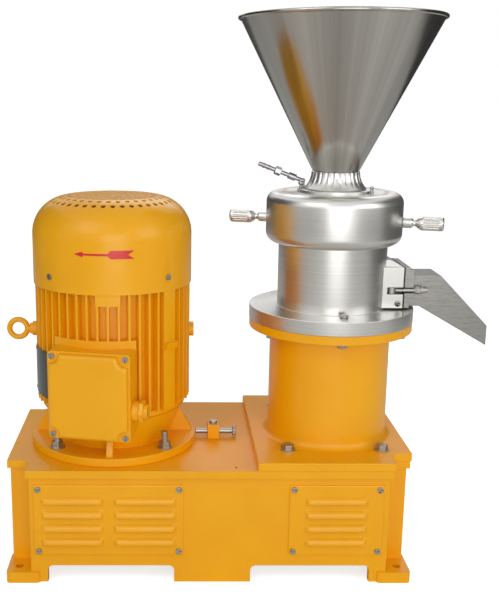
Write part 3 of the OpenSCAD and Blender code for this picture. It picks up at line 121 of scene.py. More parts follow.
def add_node(tree, kind, settings=None, inputs=None):
    """Adds one shader node: settings are its properties, inputs are values or linked outputs."""
    made = tree.nodes.new(kind)
    for key, value in (settings or {}).items():
        setattr(made, key, value)
    for key, value in (inputs or {}).items():
        if isinstance(value, bpy.types.NodeSocket):
            tree.links.new(value, made.inputs[key])
        else:
            made.inputs[key].default_value = value
    return made


def new_finish(name):
    """An empty material with its shader and the object coordinates in metres."""
    made = bpy.data.materials.new(name)
    made.use_nodes = True
    tree = made.node_tree
    tree.nodes.clear()
    shader = add_node(tree, "ShaderNodeBsdfPrincipled")
    add_node(tree, "ShaderNodeOutputMaterial", inputs={"Surface": shader.outputs["BSDF"]})
    place = add_node(tree, "ShaderNodeTexCoord").outputs["Object"]
    return made, tree, shader, place


def two_tones(tree, factor, low, high):
    """A blend of two colours, given as hex codes or settings, by a factor socket."""
    low, high = (linear(tone) if isinstance(tone, str) else tuple(tone) for tone in (low, high))
    inputs = {0: factor, 6: low, 7: high}
    return add_node(tree, "ShaderNodeMix", {"data_type": "RGBA"}, inputs).outputs[2]


def spread(tree, value, low, high):
    """A 0 to 1 socket stretched to run from low to high."""
    return add_node(
        tree, "ShaderNodeMapRange", inputs={"Value": value, "To Min": low, "To Max": high}
    ).outputs["Result"]


def noise(tree, place, size_mm, detail=2.0):
    """Noise whose blobs are about size_mm across."""
    inputs = {"Vector": place, "Scale": 1 / (size_mm * MM), "Detail": detail}
    return add_node(tree, "ShaderNodeTexNoise", inputs=inputs).outputs["Fac"]


def sum_of(tree, first, share, second):
    """A share of the first socket plus the second."""
    inputs = {0: first, 1: share, 2: second}
    return add_node(tree, "ShaderNodeMath", {"operation": "MULTIPLY_ADD"}, inputs).outputs["Value"]


def turned_place(tree, place, axis):
    """Radius from an upright axis and height, so that a pattern runs round as a lathe tool does."""
    shift = (-axis[0] * MM, -axis[1] * MM, 0)
    moved = add_node(tree, "ShaderNodeMapping", inputs={"Vector": place, "Location": shift})
    x, y, z = add_node(
        tree, "ShaderNodeSeparateXYZ", inputs={"Vector": moved.outputs["Vector"]}
    ).outputs
    flat = add_node(tree, "ShaderNodeCombineXYZ", inputs={"X": x, "Y": y}).outputs["Vector"]
    radius = add_node(tree, "ShaderNodeVectorMath", {"operation": "LENGTH"}, {0: flat}).outputs["Value"]
    rings = add_node(tree, "ShaderNodeCombineXYZ", inputs={"X": radius, "Z": z}).outputs["Vector"]
    return rings, flat


def add_relief(tree, shader, height, depth_mm, edge_mm=0.0):
    """Bump of the given depth on the shader, over softened edges where edge_mm is set."""
    inputs = {"Height": height, "Distance": depth_mm * MM, "Strength": 1.0}
    if edge_mm:
        soft = add_node(tree, "ShaderNodeBevel", {"samples": 4}, {"Radius": edge_mm * MM})
        inputs["Normal"] = soft.outputs["Normal"]
    bump = add_node(tree, "ShaderNodeBump", inputs=inputs)
    tree.links.new(bump.outputs["Normal"], shader.inputs["Normal"])


def gloss_enamel(settings):
    """Gloss enamel sprayed on cast iron and sheet: a strong yellow with a faint orange peel and swell."""
    made, tree, shader, place = new_finish("gloss_enamel")
    tone = two_tones(tree, noise(tree, place, 90), settings.enamel_deep, settings.enamel_light)
    tree.links.new(tone, shader.inputs["Base Color"])
    peel = noise(tree, place, settings.peel_size, 3.0)
    swell = noise(tree, place, 28, 1.0)
    add_relief(tree, shader, sum_of(tree, swell, 1.6, peel), 0.055, 0.8)
    tree.links.new(spread(tree, noise(tree, place, 35, 3.0), 0.3, 0.42), shader.inputs["Roughness"])
    shader.inputs["Specular IOR Level"].default_value = 0.35
    shader.inputs["Coat Weight"].default_value = 0.16
    shader.inputs["Coat Roughness"].default_value = 0.1
    return made


def turned_stainless(settings):
    """Stainless steel off the lathe: satin grooves round the mill axis, drawn coarser so that they show."""
    made, tree, shader, place = new_finish("turned_stainless")
    rings, flat = turned_place(tree, place, MILL_AXIS)
    groove = noise(tree, rings, settings.groove_pitch, 4.0)
    cloud = noise(tree, flat, 60)
    tree.links.new(two_tones(tree, groove, "#BBBAB6", "#E6E5E1"), shader.inputs["Base Color"])
    add_relief(tree, shader, groove, 0.02, 0.6)
    tree.links.new(spread(tree, cloud, 0.24, 0.38), shader.inputs["Roughness"])
    shader.inputs["Metallic"].default_value = 1.0
    shader.inputs["Anisotropic"].default_value = 0.5
    return made


def polished_sheet(settings):
    """Rolled stainless sheet, polished along the cone: faint long streaks and soft clear reflections, with
    painted reflections in its colour, broad light and dark bands round the cone.
    """
    made, tree, shader, place = new_finish("polished_sheet")
    _, flat = turned_place(tree, place, MILL_AXIS)
    # the direction from the axis has length 1, so a streak's size is the one it has a metre out
    around = add_node(tree, "ShaderNodeVectorMath", {"operation": "NORMALIZE"}, {0: flat})
    around = around.outputs["Vector"]
    streak = noise(tree, around, 55, 4.0)
    painted_reflection_band = noise(tree, around, 420, 1.0)
    # the colour is partly painted reflection: broad light and dark bands round the cone, over fine streaks
    # that are partly real polish lines and partly painted reflection
    tone = two_tones(tree, sum_of(tree, streak, 0.35, painted_reflection_band), "#5F5B54", "#C9C6BF")
    tree.links.new(tone, shader.inputs["Base Color"])
    add_relief(tree, shader, streak, 0.02)
    tree.links.new(spread(tree, streak, 0.14, 0.26), shader.inputs["Roughness"])
    shader.inputs["Metallic"].default_value = 1.0
    return made


def brushed_stainless(settings):
    """Brushed stainless plate: lengthwise streaks, drawn about a millimetre apart so that they show."""
    made, tree, shader, place = new_finish("brushed_stainless")
    drawn = add_node(tree, "ShaderNodeMapping", inputs={"Vector": place, "Scale": (0.06, 1, 1)})
    streak = noise(tree, drawn.outputs["Vector"], 1.1, 4.0)
    tree.links.new(two_tones(tree, streak, "#7C7A76", "#AFADA8"), shader.inputs["Base Color"])
    add_relief(tree, shader, streak, 0.02, 0.5)
    tree.links.new(spread(tree, streak, 0.22, 0.36), shader.inputs["Roughness"])
    shader.inputs["Metallic"].default_value = 1.0
    return made


def plain_metal(name, low, high, size_mm, depth_mm, rough):
    """A metal finish of two close tones with a fine grain."""
    made, tree, shader, place = new_finish(name)
    grain = noise(tree, place, size_mm, 3.0)
    tree.links.new(two_tones(tree, grain, low, high), shader.inputs["Base Color"])
    add_relief(tree, shader, grain, depth_mm, 0.4)
    tree.links.new(spread(tree, grain, *rough), shader.inputs["Roughness"])
    shader.inputs["Metallic"].default_value = 1.0
    return made


def zinc_plate(settings):
    """Bright zinc plating on bolts and nuts: pale grey with a mottled, slightly dull sheen."""
    return plain_metal("zinc_plate", "#8F8E88", "#BDBBB4", 2.5, 0.02, (0.28, 0.46))


def ground_steel(settings):
    """Ground bearing and shaft steel: even, fine and fairly bright."""
    return plain_metal("ground_steel", "#8E8E90", "#B4B4B6", 0.8, 0.008, (0.18, 0.3))


def machined_iron(settings):
    """Machined grey cast iron with a film of oil: dark, with an open grain."""
    return plain_metal("machined_iron", "#3C3B39", "#5A5855", 1.6, 0.04, (0.4, 0.6))


def wound_copper(settings):
    """Varnished copper winding: brown-red strands about a millimetre thick."""
    return plain_metal("wound_copper", "#7A3B22", "#B4683F", 1.2, 0.2, (0.3, 0.45))


def moulded(name, low, high, size_mm, depth_mm, rough, coat=0.0):
    """A non-metal finish of two close tones with a fine grain."""
    made, tree, shader, place = new_finish(name)
    grain = noise(tree, place, size_mm, 3.0)
    tree.links.new(two_tones(tree, grain, low, high), shader.inputs["Base Color"])
    add_relief(tree, shader, grain, depth_mm)
    tree.links.new(spread(tree, grain, *rough), shader.inputs["Roughness"])
    shader.inputs["Coat Weight"].default_value = coat
    return made


def belt_rubber(settings):
    """Moulded rubber with a cloth-like grain and no shine, as on belts, seals and gaskets."""
    return moulded("belt_rubber", "#1B1B1B", "#2A2A29", 1.0, 0.05, (0.7, 0.85))


def fan_plastic(settings):
    """Moulded black nylon, faintly pebbled, as on the fan and the terminal board."""
    return moulded("fan_plastic", "#1E1F21", "#2B2C2E", 0.9, 0.02, (0.42, 0.55))


def signal_red(settings):
    """Red stencil paint, thin and slightly glossy, over the enamel."""
    deep, light = settings.marking_deep, settings.marking_light
    return moulded("signal_red", deep, light, 6.0, 0.01, (0.3, 0.42), 0.3)


def plate_green(settings):
    """Dark green lacquer on a thin aluminium plate: smooth, with a soft clear shine."""
    return moulded("plate_green", "#16211B", "#22302A", 8.0, 0.01, (0.3, 0.4), 0.4)


FINISHES = {
    f.__name__: f
    for f in (
        gloss_enamel, turned_stainless, polished_sheet, brushed_stainless, zinc_plate, ground_steel,
        machined_iron, wound_copper, belt_rubber, fan_plastic, signal_red, plate_green,
    )
}

SLOT_FINISH = {
    "enamel": "gloss_enamel", "stainless": "brushed_stainless", "bearing_steel": "ground_steel",
    "zinc": "zinc_plate", "iron": "machined_iron", "rubber": "belt_rubber", "plastic": "fan_plastic",
}
TURNED_NODES = (
    "grinding_chamber", "adjusting_ring", "stator_carrier", "stator", "rotor", "hopper_nut", "vent_plug",
)


def finish(name):
    """The named material, which the finishes operator has made."""
    return bpy.data.materials[name]


def grid_faces(rows, columns, wrap_rows=False, wrap_columns=False):
    """Quads between neighbouring points of a grid; a wrapped direction joins its last line to its first."""
    down = np.arange(rows if wrap_rows else rows - 1)
    across = np.arange(columns if wrap_columns else columns - 1)
    i, j = np.meshgrid(down, across, indexing="ij")
    k, m = (i + 1) % rows, (j + 1) % columns
    return np.stack([i * columns + j, k * columns + j, k * columns + m, i * columns + m], -1).reshape(-1, 4)


def joined(surfaces):
    """Several (points, faces) surfaces as one."""
    starts = np.cumsum([0] + [len(points) for points, _ in surfaces[:-1]])
    points = np.concatenate([p for p, _ in surfaces])
    return points, np.concatenate([f + start for (_, f), start in zip(surfaces, starts)])


def rounded(corners, steps=5):
    """A closed outline whose corners (x, y, radius) are rounded by arcs.

    Each arc runs between the two tangent points, turning evenly from one radius direction to the other.
    """
    corners = np.array(corners, float)
    point, radius = corners[:, :2], corners[:, 2:3]
    back, ahead = np.roll(point, 1, 0) - point, np.roll(point, -1, 0) - point
    back /= np.linalg.norm(back, axis=1, keepdims=True)
    ahead /= np.linalg.norm(ahead, axis=1, keepdims=True)
    half = np.arccos(np.clip((back * ahead).sum(1, keepdims=True), -1, 1)) / 2
    middle = back + ahead
    middle /= np.maximum(np.linalg.norm(middle, axis=1, keepdims=True), 1e-9)
    centre = point + middle * radius / np.sin(half)
    start = point + back * radius / np.tan(half) - centre
    end = point + ahead * radius / np.tan(half) - centre
    turn = (math.pi - 2 * half)[:, None]
    t = np.linspace(0, 1, steps)[None, :, None]
    sweep = np.where(turn < 1e-6, 1, np.sin(turn))
    arc = np.sin((1 - t) * turn) / sweep * start[:, None] + np.sin(t * turn) / sweep * end[:, None]
    return (centre[:, None] + arc).reshape(-1, 2)


def basis(direction):
    """Two unit vectors square to a direction, and the direction itself."""
    w = np.array(direction, float)
    w /= np.linalg.norm(w)
    side = np.array([0, 0, 1.0]) if abs(w[2]) < 0.9 else np.array([1.0, 0, 0])
    u = side - w * (side @ w)
    u /= np.linalg.norm(u)
    return u, np.cross(w, u), w


def lathe(profile, origin, direction=(0, 0, 1), segments=96, ripple=None):
    """A closed profile of (radius, height) turned round an axis; ripple(angle, height) adds to the radius."""
    u, v, w = basis(direction)
    if tuple(direction) == (0, 0, 1):
        u, v = np.array([1.0, 0, 0]), np.array([0, 1.0, 0])
    angle = np.linspace(0, TAU, segments, endpoint=False)[None, :]
    radius, height = profile[:, 0:1] + 0 * angle, profile[:, 1:2] + 0 * angle
    if ripple is not None:
        radius = radius + ripple(angle, height)
    points = (
        np.array(origin, float)
        + (radius * np.cos(angle))[..., None] * u
        + (radius * np.sin(angle))[..., None] * v
        + height[..., None] * w
    )
    return points.reshape(-1, 3), grid_faces(len(profile), segments, True, True)


def tube(path, radius, segments=16):
    """A round tube whose rings stand square to a path; radius is one value, or one for each point."""
    path = np.array(path, float)
    ahead = np.gradient(path, axis=0)
    ahead /= np.linalg.norm(ahead, axis=1, keepdims=True)
    side = np.cross(ahead, basis(ahead[0])[0])
    side /= np.linalg.norm(side, axis=1, keepdims=True)
    other = np.cross(ahead, side)
    angle = np.linspace(0, TAU, segments, endpoint=False)
    reach = np.broadcast_to(np.array(radius, float), len(path))[:, None, None]
    points = path[:, None] + reach * (
        np.cos(angle)[None, :, None] * side[:, None] + np.sin(angle)[None, :, None] * other[:, None]
    )
    return points.reshape(-1, 3), grid_faces(len(path), segments, False, True)


def shell(front, back, keep=None):
    """Two like grids of points as one closed shell; faces outside keep are left out and get an edge."""
    rows, columns = front.shape[:2]
    count = rows * columns
    faces = grid_faces(rows, columns)
    if keep is not None:
        faces = faces[keep.ravel()]
    sides = np.concatenate([faces[:, [i, (i + 1) % 4]] for i in range(4)])
    _, first, uses = np.unique(np.sort(sides, 1), axis=0, return_index=True, return_counts=True)
    a, b = sides[first[uses == 1]].T
    rims = np.stack([b, a, a + count, b + count], 1)
    points = np.concatenate([front.reshape(-1, 3), back.reshape(-1, 3)])
    return points, np.concatenate([faces, faces[:, ::-1] + count, rims])


def make_piece(name, surface, finish_name, body, replaced=(), closed=True, smooth_angle=32):
    """Puts a surface into a mesh object that rides on a body, in a slot, in place of CAD nodes."""
    points, faces = surface
    mesh = bpy.data.meshes.new(name)
    mesh.from_pydata((points * MM).tolist(), [], faces.tolist())
    work = bmesh.new()
    work.from_mesh(mesh)
    bmesh.ops.remove_doubles(work, verts=work.verts, dist=0.002 * MM)
    bmesh.ops.dissolve_degenerate(work, edges=work.edges, dist=0.001 * MM)
    if closed:
        open_edges = [e for e in work.edges if e.is_boundary]
        bmesh.ops.holes_fill(work, edges=open_edges)
        bmesh.ops.recalc_face_normals(work, faces=work.faces)
    work.to_mesh(mesh)
    work.free()
    return place_piece(mesh, name, finish_name, body, replaced, smooth_angle)


def place_piece(mesh, name, finish_name, body, replaced, smooth_angle=32):
    """Links a finished mesh as a piece of the object."""
    mesh.materials.append(finish(finish_name))
    mesh.shade_smooth()
    mesh.set_sharp_from_angle(angle=math.radians(smooth_angle))
    made = bpy.data.objects.new(name, mesh)
    bpy.context.scene.collection.objects.link(made)
    if body:
        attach(made, body)
    if replaced:
        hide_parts(*replaced)
    return made


def softened(node, name, finish_name, width, segments=2, angle=35, rides=True):
    """A CAD node's own surface: its triangles are paired into quads and a bevel rounds its edges."""
    source = frame["nodes"][node]
    work = bmesh.new()
    work.from_mesh(source.data)
    bmesh.ops.remove_doubles(work, verts=work.verts, dist=0.01 * MM)
    bmesh.ops.join_triangles(
        work, faces=work.faces, angle_face_threshold=SAME_PLANE, angle_shape_threshold=PAIR_SHAPE
    )
    points = np.array([v.co for v in work.verts], float).reshape(-1, 3)
    faces = [[v.index for v in f.verts] for f in work.faces]
    work.free()
    mesh = bpy.data.meshes.new(name)
    mesh.from_pydata(points.tolist(), [], faces)
    body = source["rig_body"] if rides else None
    made = place_piece(mesh, name, finish_name, body, (node,))
    bevel = made.modifiers.new("rounded_edges", "BEVEL")
    bevel.width = width * MM
    bevel.segments = segments
    bevel.limit_method = "ANGLE"
    bevel.angle_limit = math.radians(angle)
    bevel.use_clamp_overlap = False
    bevel.harden_normals = True
    return made


def slot_of(node):
    """The record's material slot of a CAD node."""
    return next(s["material_slot"] for s in frame["record"]["subparts"] if s["node"] == node)


class MillFinishSettings(bpy.types.PropertyGroup):
    """Colours and pattern sizes of the finishes."""

    enamel_deep: FloatVectorProperty(
        name="Enamel, deep", description="Darker tone of the enamel",
        subtype="COLOR", size=4, min=0, max=1, default=linear("#F4A900"),
    )
    enamel_light: FloatVectorProperty(
        name="Enamel, light", description="Lighter tone of the enamel",
        subtype="COLOR", size=4, min=0, max=1, default=linear("#FFB800"),
    )
    marking_deep: FloatVectorProperty(
        name="Marking, deep", description="Darker tone of the red paint",
        subtype="COLOR", size=4, min=0, max=1, default=linear("#D4121D"),
    )
    marking_light: FloatVectorProperty(
        name="Marking, light", description="Lighter tone of the red paint",
        subtype="COLOR", size=4, min=0, max=1, default=linear("#E61E2B"),
    )
    peel_size: FloatProperty(name="Orange peel", description="Size of the paint's ripples in mm", default=3.0)
    groove_pitch: FloatProperty(
        name="Lathe grooves", description="Width of the turned grooves in mm", default=1.2
    )
    edge_radius: FloatProperty(name="Edge radius", description="Rounding of cast edges in mm", default=1.6)
    head_chamfer: FloatProperty(
        name="Bolt chamfer", description="Broken edge of bolt heads and nuts in mm", default=0.7
    )


class MillShapeSettings(bpy.types.PropertyGroup):
    """Sizes and counts of the detailed pieces."""

    sheet: FloatProperty(name="Hopper sheet", description="Sheet thickness of the hopper in mm", default=2.0)
    bead: FloatProperty(name="Rolled rim", description="Radius of the hopper's rolled rim in mm", default=3.5)
    flutes: IntProperty(name="Nut flutes", description="Number of flutes round the hopper's nut", default=24)
    grip_flutes: IntProperty(
        name="Grip flutes", description="Number of flutes round a handle grip", default=18
    )
    louvre_rise: FloatProperty(
        name="Louvre", description="Height of a louvre above its sheet in mm", default=6.0
    )
    lid_flange: FloatProperty(name="Lid flange", description="Thickness of the lid's edge in mm", default=5.0)
    lid_bend: FloatProperty(
        name="Lid edge", description="Rounding of the lid's front edge in mm", default=6.5
    )
    lid_crown: FloatProperty(
        name="Lid crown", description="How far the middle of the lid swells in mm", default=0.9
    )
    marks: IntProperty(
        name="Ring marks", description="Graduation marks in each of the ring's two groups", default=9
    )


class MillStageSettings(bpy.types.PropertyGroup):
    """Light and camera."""

    world: FloatProperty(name="Sky", description="Strength of the surrounding light", default=0.38)
    key: FloatProperty(name="Key lamp", description="Power of the main lamp", unit="POWER", default=13.0)
    front: FloatProperty(
        name="Front lamp", description="Power of the low lamp behind the camera", unit="POWER", default=32.0
    )
    fill: FloatProperty(
        name="Fill lamps", description="Power of the fill lamp and the back lamp", unit="POWER", default=9.0
    )
    camera_place: FloatVectorProperty(
        name="Camera", description="Place of the camera in mm", subtype="XYZ", size=3,
        default=(-65.5, -1639.9, 825.7),
    )


class MILL_OT_finishes(bpy.types.Operator):
    """Makes the finishes and gives each CAD node the one of its material."""

    bl_idname = "mill.finishes"
    bl_label = "Finishes"

    def execute(self, context):
        settings = context.scene.mill_finish
        for make in FINISHES.values():
            make(settings)
        for name, node in frame["nodes"].items():
            chosen = "turned_stainless" if name in TURNED_NODES else SLOT_FINISH[slot_of(name)]
            node.data.materials.clear()
            node.data.materials.append(finish(chosen))
        self.wind_coils(frame["nodes"]["motor_stator_core"].data)
        return {"FINISHED"}

    def wind_coils(self, mesh):
        """Copper on the winding heads: the faces whose middle lies above or below the iron stack."""
        mesh.materials.append(finish("wound_copper"))
        low, high = span("motor_stator_core")
        centre = np.empty(3 * len(mesh.polygons))
        mesh.polygons.foreach_get("center", centre)
        height = centre.reshape(-1, 3)[:, 2] / MM
        coil = (height < low[2] + COIL_H) | (height > high[2] - COIL_H)
        mesh.polygons.foreach_set("material_index", coil.astype(np.int32))


class MILL_OT_castings(bpy.types.Operator):
    """Rounds the edges of the enamelled castings, the chamber, the chute and the belts."""

    bl_idname = "mill.castings"
    bl_label = "Castings"

    def execute(self, context):
        edge = context.scene.mill_finish.edge_radius
        for node, name, chosen, share in (
            ("bearing_housing", "cast_housing", "gloss_enamel", 1),
            ("motor_end_shield", "cast_end_shield", "gloss_enamel", 1),
            ("terminal_box", "cast_terminal_box", "gloss_enamel", 1),
            ("cable_gland", "cast_gland", "gloss_enamel", 0.5),
            ("jack_block", "cast_block", "gloss_enamel", 1),
            ("eye_bolt", "forged_eye", "gloss_enamel", 0.5),
            ("grinding_chamber", "turned_chamber", "turned_stainless", 0.6),
            ("chute", "folded_chute", "brushed_stainless", 0.4),
        ):
            softened(node, name, chosen, share * edge)
        self.stretch_belts(0.3 * edge)
        return {"FINISHED"}

    def stretch_belts(self, edge):
        """The belts with their edges rounded, left in place and carried by no body."""
        belts = softened("v_belts", "wrapped_belts", "belt_rubber", edge, rides=False)
        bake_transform(belts)


class MILL_OT_terminal(bpy.types.Operator):
    """Makes the lid of the terminal box: a flange and a raised front with a hollow round each screw."""

    bl_idname = "mill.terminal"
    bl_label = "Terminal lid"

    def execute(self, context):
        """Loops round the lid, from its hollow back over the edge and the bend to the middle of the front."""
        shape = context.scene.mill_shape
        turn = math.radians(-90 - BOX_ANGLE)
        out = np.array([math.cos(turn), math.sin(turn)])
        across = np.array([-math.sin(turn), math.cos(turn)])
        points = np.array([v.co for v in frame["nodes"]["terminal_lid"].data.vertices]) / MM
        reach, side = (points[:, :2] - MOTOR_AXIS) @ out, (points[:, :2] - MOTOR_AXIS) @ across
        half = np.array([np.ptp(side), np.ptp(points[:, 2])]) / 2
        middle = (points[:, 2].min() + points[:, 2].max()) / 2
        thick, flange, bend = np.ptp(reach), shape.lid_flange, shape.lid_bend
        rise = thick - shape.lid_crown - bend
        hollow, chamfer, top = 16, 1, LID_INSET + 0.2
        rings = [(hollow, 0, thick - flange), (hollow, 0, 0), (0, 0, 0), (0, 0, flange - chamfer)]
        rings += [(chamfer, 0, flange), (LID_INSET, LID_POCKET, flange), (top, LID_POCKET, rise)]
        for t in np.linspace(0, math.pi / 2, 9)[1:]:
            rings.append((top + bend * (1 - math.cos(t)), LID_POCKET, rise + bend * math.sin(t)))
        grid = []
        for inset, pocket, height in rings:
            grid.append(np.column_stack([self.outline(half, inset, pocket), np.full(LID_POINTS, height)]))
        edge = grid[-1]
        for share in (0.9, 0.7, 0.45, 0.2):
            grid.append([share, share, 1] * edge + [0, 0, shape.lid_crown * (1 - share**2)])
        grid = np.array(grid)
        flat = MOTOR_AXIS + (reach.min() + grid[..., 2:]) * out + grid[..., :1] * across
        placed = np.concatenate([flat, middle + grid[..., 1:2]], -1).reshape(-1, 3)
        surface = placed, grid_faces(len(grid), LID_POINTS, False, True)
        make_piece(
            "cast_terminal_lid", surface, "gloss_enamel", "motor_unit", ("terminal_lid",)
        )
        return {"FINISHED"}

    def outline(self, half, inset, pocket):
        """Even points round the lid, set in from its edge; where pocket is set, its corners bow in.

        A quarter is laid out first, from the right side to the top, and then mirrored twice.
        """
        x, y = half - inset
        quarter = LID_POINTS // 4
        if pocket:
            screw = half - LID_SCREW
            radius = pocket + inset - LID_INSET
            low = (x, screw[1] - math.sqrt(radius**2 - (x - screw[0]) ** 2))
            high = (screw[0] - math.sqrt(radius**2 - (y - screw[1]) ** 2), y)
            start = math.atan2(low[1] - screw[1], low[0] - screw[0])
            end = math.atan2(high[1] - screw[1], high[0] - screw[0])
            end -= TAU if end > start else 0
            angle = np.linspace(start, end, quarter)[:, None]
            arc = screw + radius * np.hstack([np.cos(angle), np.sin(angle)])
        else:
            angle = np.linspace(0, math.pi / 2, quarter)[:, None]
            arc = np.array([x, y]) - LID_CORNER + LID_CORNER * np.hstack([np.cos(angle), np.sin(angle)])
        path = np.concatenate([[(x, 0)], arc, [(0, y)]])
        length = np.concatenate([[0], np.cumsum(np.linalg.norm(np.diff(path, axis=0), axis=1))])
        even = np.linspace(0, length[-1], quarter + 1)
        laid = np.column_stack([np.interp(even, length, path[:, i]) for i in (0, 1)])[:quarter]
        loop = np.concatenate([laid, [[0, y]], [-1, 1] * laid[1:][::-1], [-1, 1] * laid[:1]])
        loop = np.concatenate([loop, [1, -1] * loop[1:-1][::-1]])
        for _ in range(2 if pocket else 0):
            loop = (np.roll(loop, 1, 0) + 2 * loop + np.roll(loop, -1, 0)) / 4
        return loop


class MILL_OT_fasteners(bpy.types.Operator):
    """Breaks the edges of the bolts, nuts and screws, and of the nozzle and its fittings."""

    bl_idname = "mill.fasteners"
    bl_label = "Fasteners and fittings"

    def execute(self, context):
        edge = context.scene.mill_finish.head_chamfer
        for node in (
            "base_bolts", "chamber_bolts", "motor_studs", "jack_screw", "swing_bolt", "clamp_nut",
            "swing_bolt_pin",
        ):
            softened(node, f"plated_{node}", "zinc_plate", edge, 1, 28)
        for node in ("cover_screws", "motor_screws"):
            softened(node, f"plated_{node}", "zinc_plate", 0.5 * edge, 1, 40)
        for node in ("water_nozzle", "vent_plug", "grease_nipple"):
            softened(node, f"turned_{node}", "ground_steel", 0.5 * edge, 1, 28)
        return {"FINISHED"}


class MILL_OT_hopper(bpy.types.Operator):
    """Makes the hopper from rolled sheet with a rolled rim, a seam, and the fluted nut that holds it."""

    bl_idname = "mill.hopper"
    bl_label = "Hopper"

    def execute(self, context):
        """The spigot, the cone, the rolled rim and the inner wall are one profile, turned round the axis."""
        shape = context.scene.mill_shape
        low, high = span("hopper")
        _, nut_high = span("hopper_nut")
        bead = shape.bead
        mouth = (high[0] - low[0]) / 2 - bead
        rim_z, foot_z, cone_z = high[2] - bead, low[2], nut_high[2]
        bore, neck, collar, cone = 30.5, 34.0, 38.0, 40.0
        collar_z, throat_z = foot_z + 8, cone_z + 2
        slope = math.atan2(mouth - cone, rim_z - cone_z)
        wall = shape.sheet / math.cos(slope)
        inside = cone - wall + 1.1
        turn = np.radians(np.linspace(-115, 195, 26))
        rim = np.stack([mouth + bead * np.cos(turn), rim_z + bead * np.sin(turn), 0 * turn], 1)
        spigot = [
            (bore, foot_z, 0), (collar, foot_z, 1.5), (collar, collar_z, 1.5), (neck, collar_z, 1),
            (neck, cone_z, 1), (cone, cone_z, 2),
        ]
        throat = [(inside, throat_z, 2), (bore, throat_z, 1)]
        profile = rounded(np.concatenate([spigot, rim, throat]))
        surface = lathe(profile, (*MILL_AXIS, 0), segments=192)
        make_piece("spun_hopper", surface, "polished_sheet", "stator_head", ("hopper",))

        weld_r, seam_angle = 1.1, math.radians(112)
        along = np.linspace(0.01, 0.985, 24)
        radius = cone + (mouth - cone) * along + 0.2
        x = MILL_AXIS[0] + radius * math.cos(seam_angle)
        y = MILL_AXIS[1] + radius * math.sin(seam_angle)
        path = np.stack([x, y, cone_z + (rim_z - cone_z) * along], 1)
        make_piece("hopper_seam", tube(path, weld_r, 12), "polished_sheet", "stator_head")
        self.make_nut(shape)
        return {"FINISHED"}

    def make_nut(self, shape):
        """The nut's side flares as a power of the height, with cosine flutes that fade at the foot."""
        low, high = span("hopper_nut")
        foot, top, height = (high[0] - low[0]) / 2, 42.0, high[2] - low[2]
        bore, recess, lip, flare = 35.2, 38.4, 6.0, 2.2
        rise = np.linspace(0, 1, 20)
        radius = top + (foot - top) * (1 - rise) ** flare
        side = np.stack([radius, low[2] + 2 + (height - 3) * rise, 0 * rise], 1)
        inner = [
            (top - 1, high[2], 0.5), (bore, high[2], 1), (bore, high[2] - lip, 0),
            (recess, high[2] - lip - 0.2, 0), (recess, low[2], 0),
        ]
        profile = rounded(np.concatenate([inner, [(foot - 1, low[2], 0.5)], side]))

        points, faces = lathe(profile, (*MILL_AXIS, 0), segments=shape.flutes * 14)
        plain_foot, fade_h, flute_depth, outside = 6, 8, 1.6, 39.5
        across = points[:, :2] - MILL_AXIS
        radius, angle = np.hypot(*across.T), np.arctan2(across[:, 1], across[:, 0])
        fade = np.clip((points[:, 2] - low[2] - plain_foot) / fade_h, 0, 1) * (radius > outside)
        depth = flute_depth * fade * np.clip(np.cos(shape.flutes * angle), 0, 1) ** 2
        points[:, :2] -= across / radius[:, None] * depth[:, None]
        surface = points, faces
        make_piece("fluted_nut", surface, "turned_stainless", "stator_head", ("hopper_nut",))


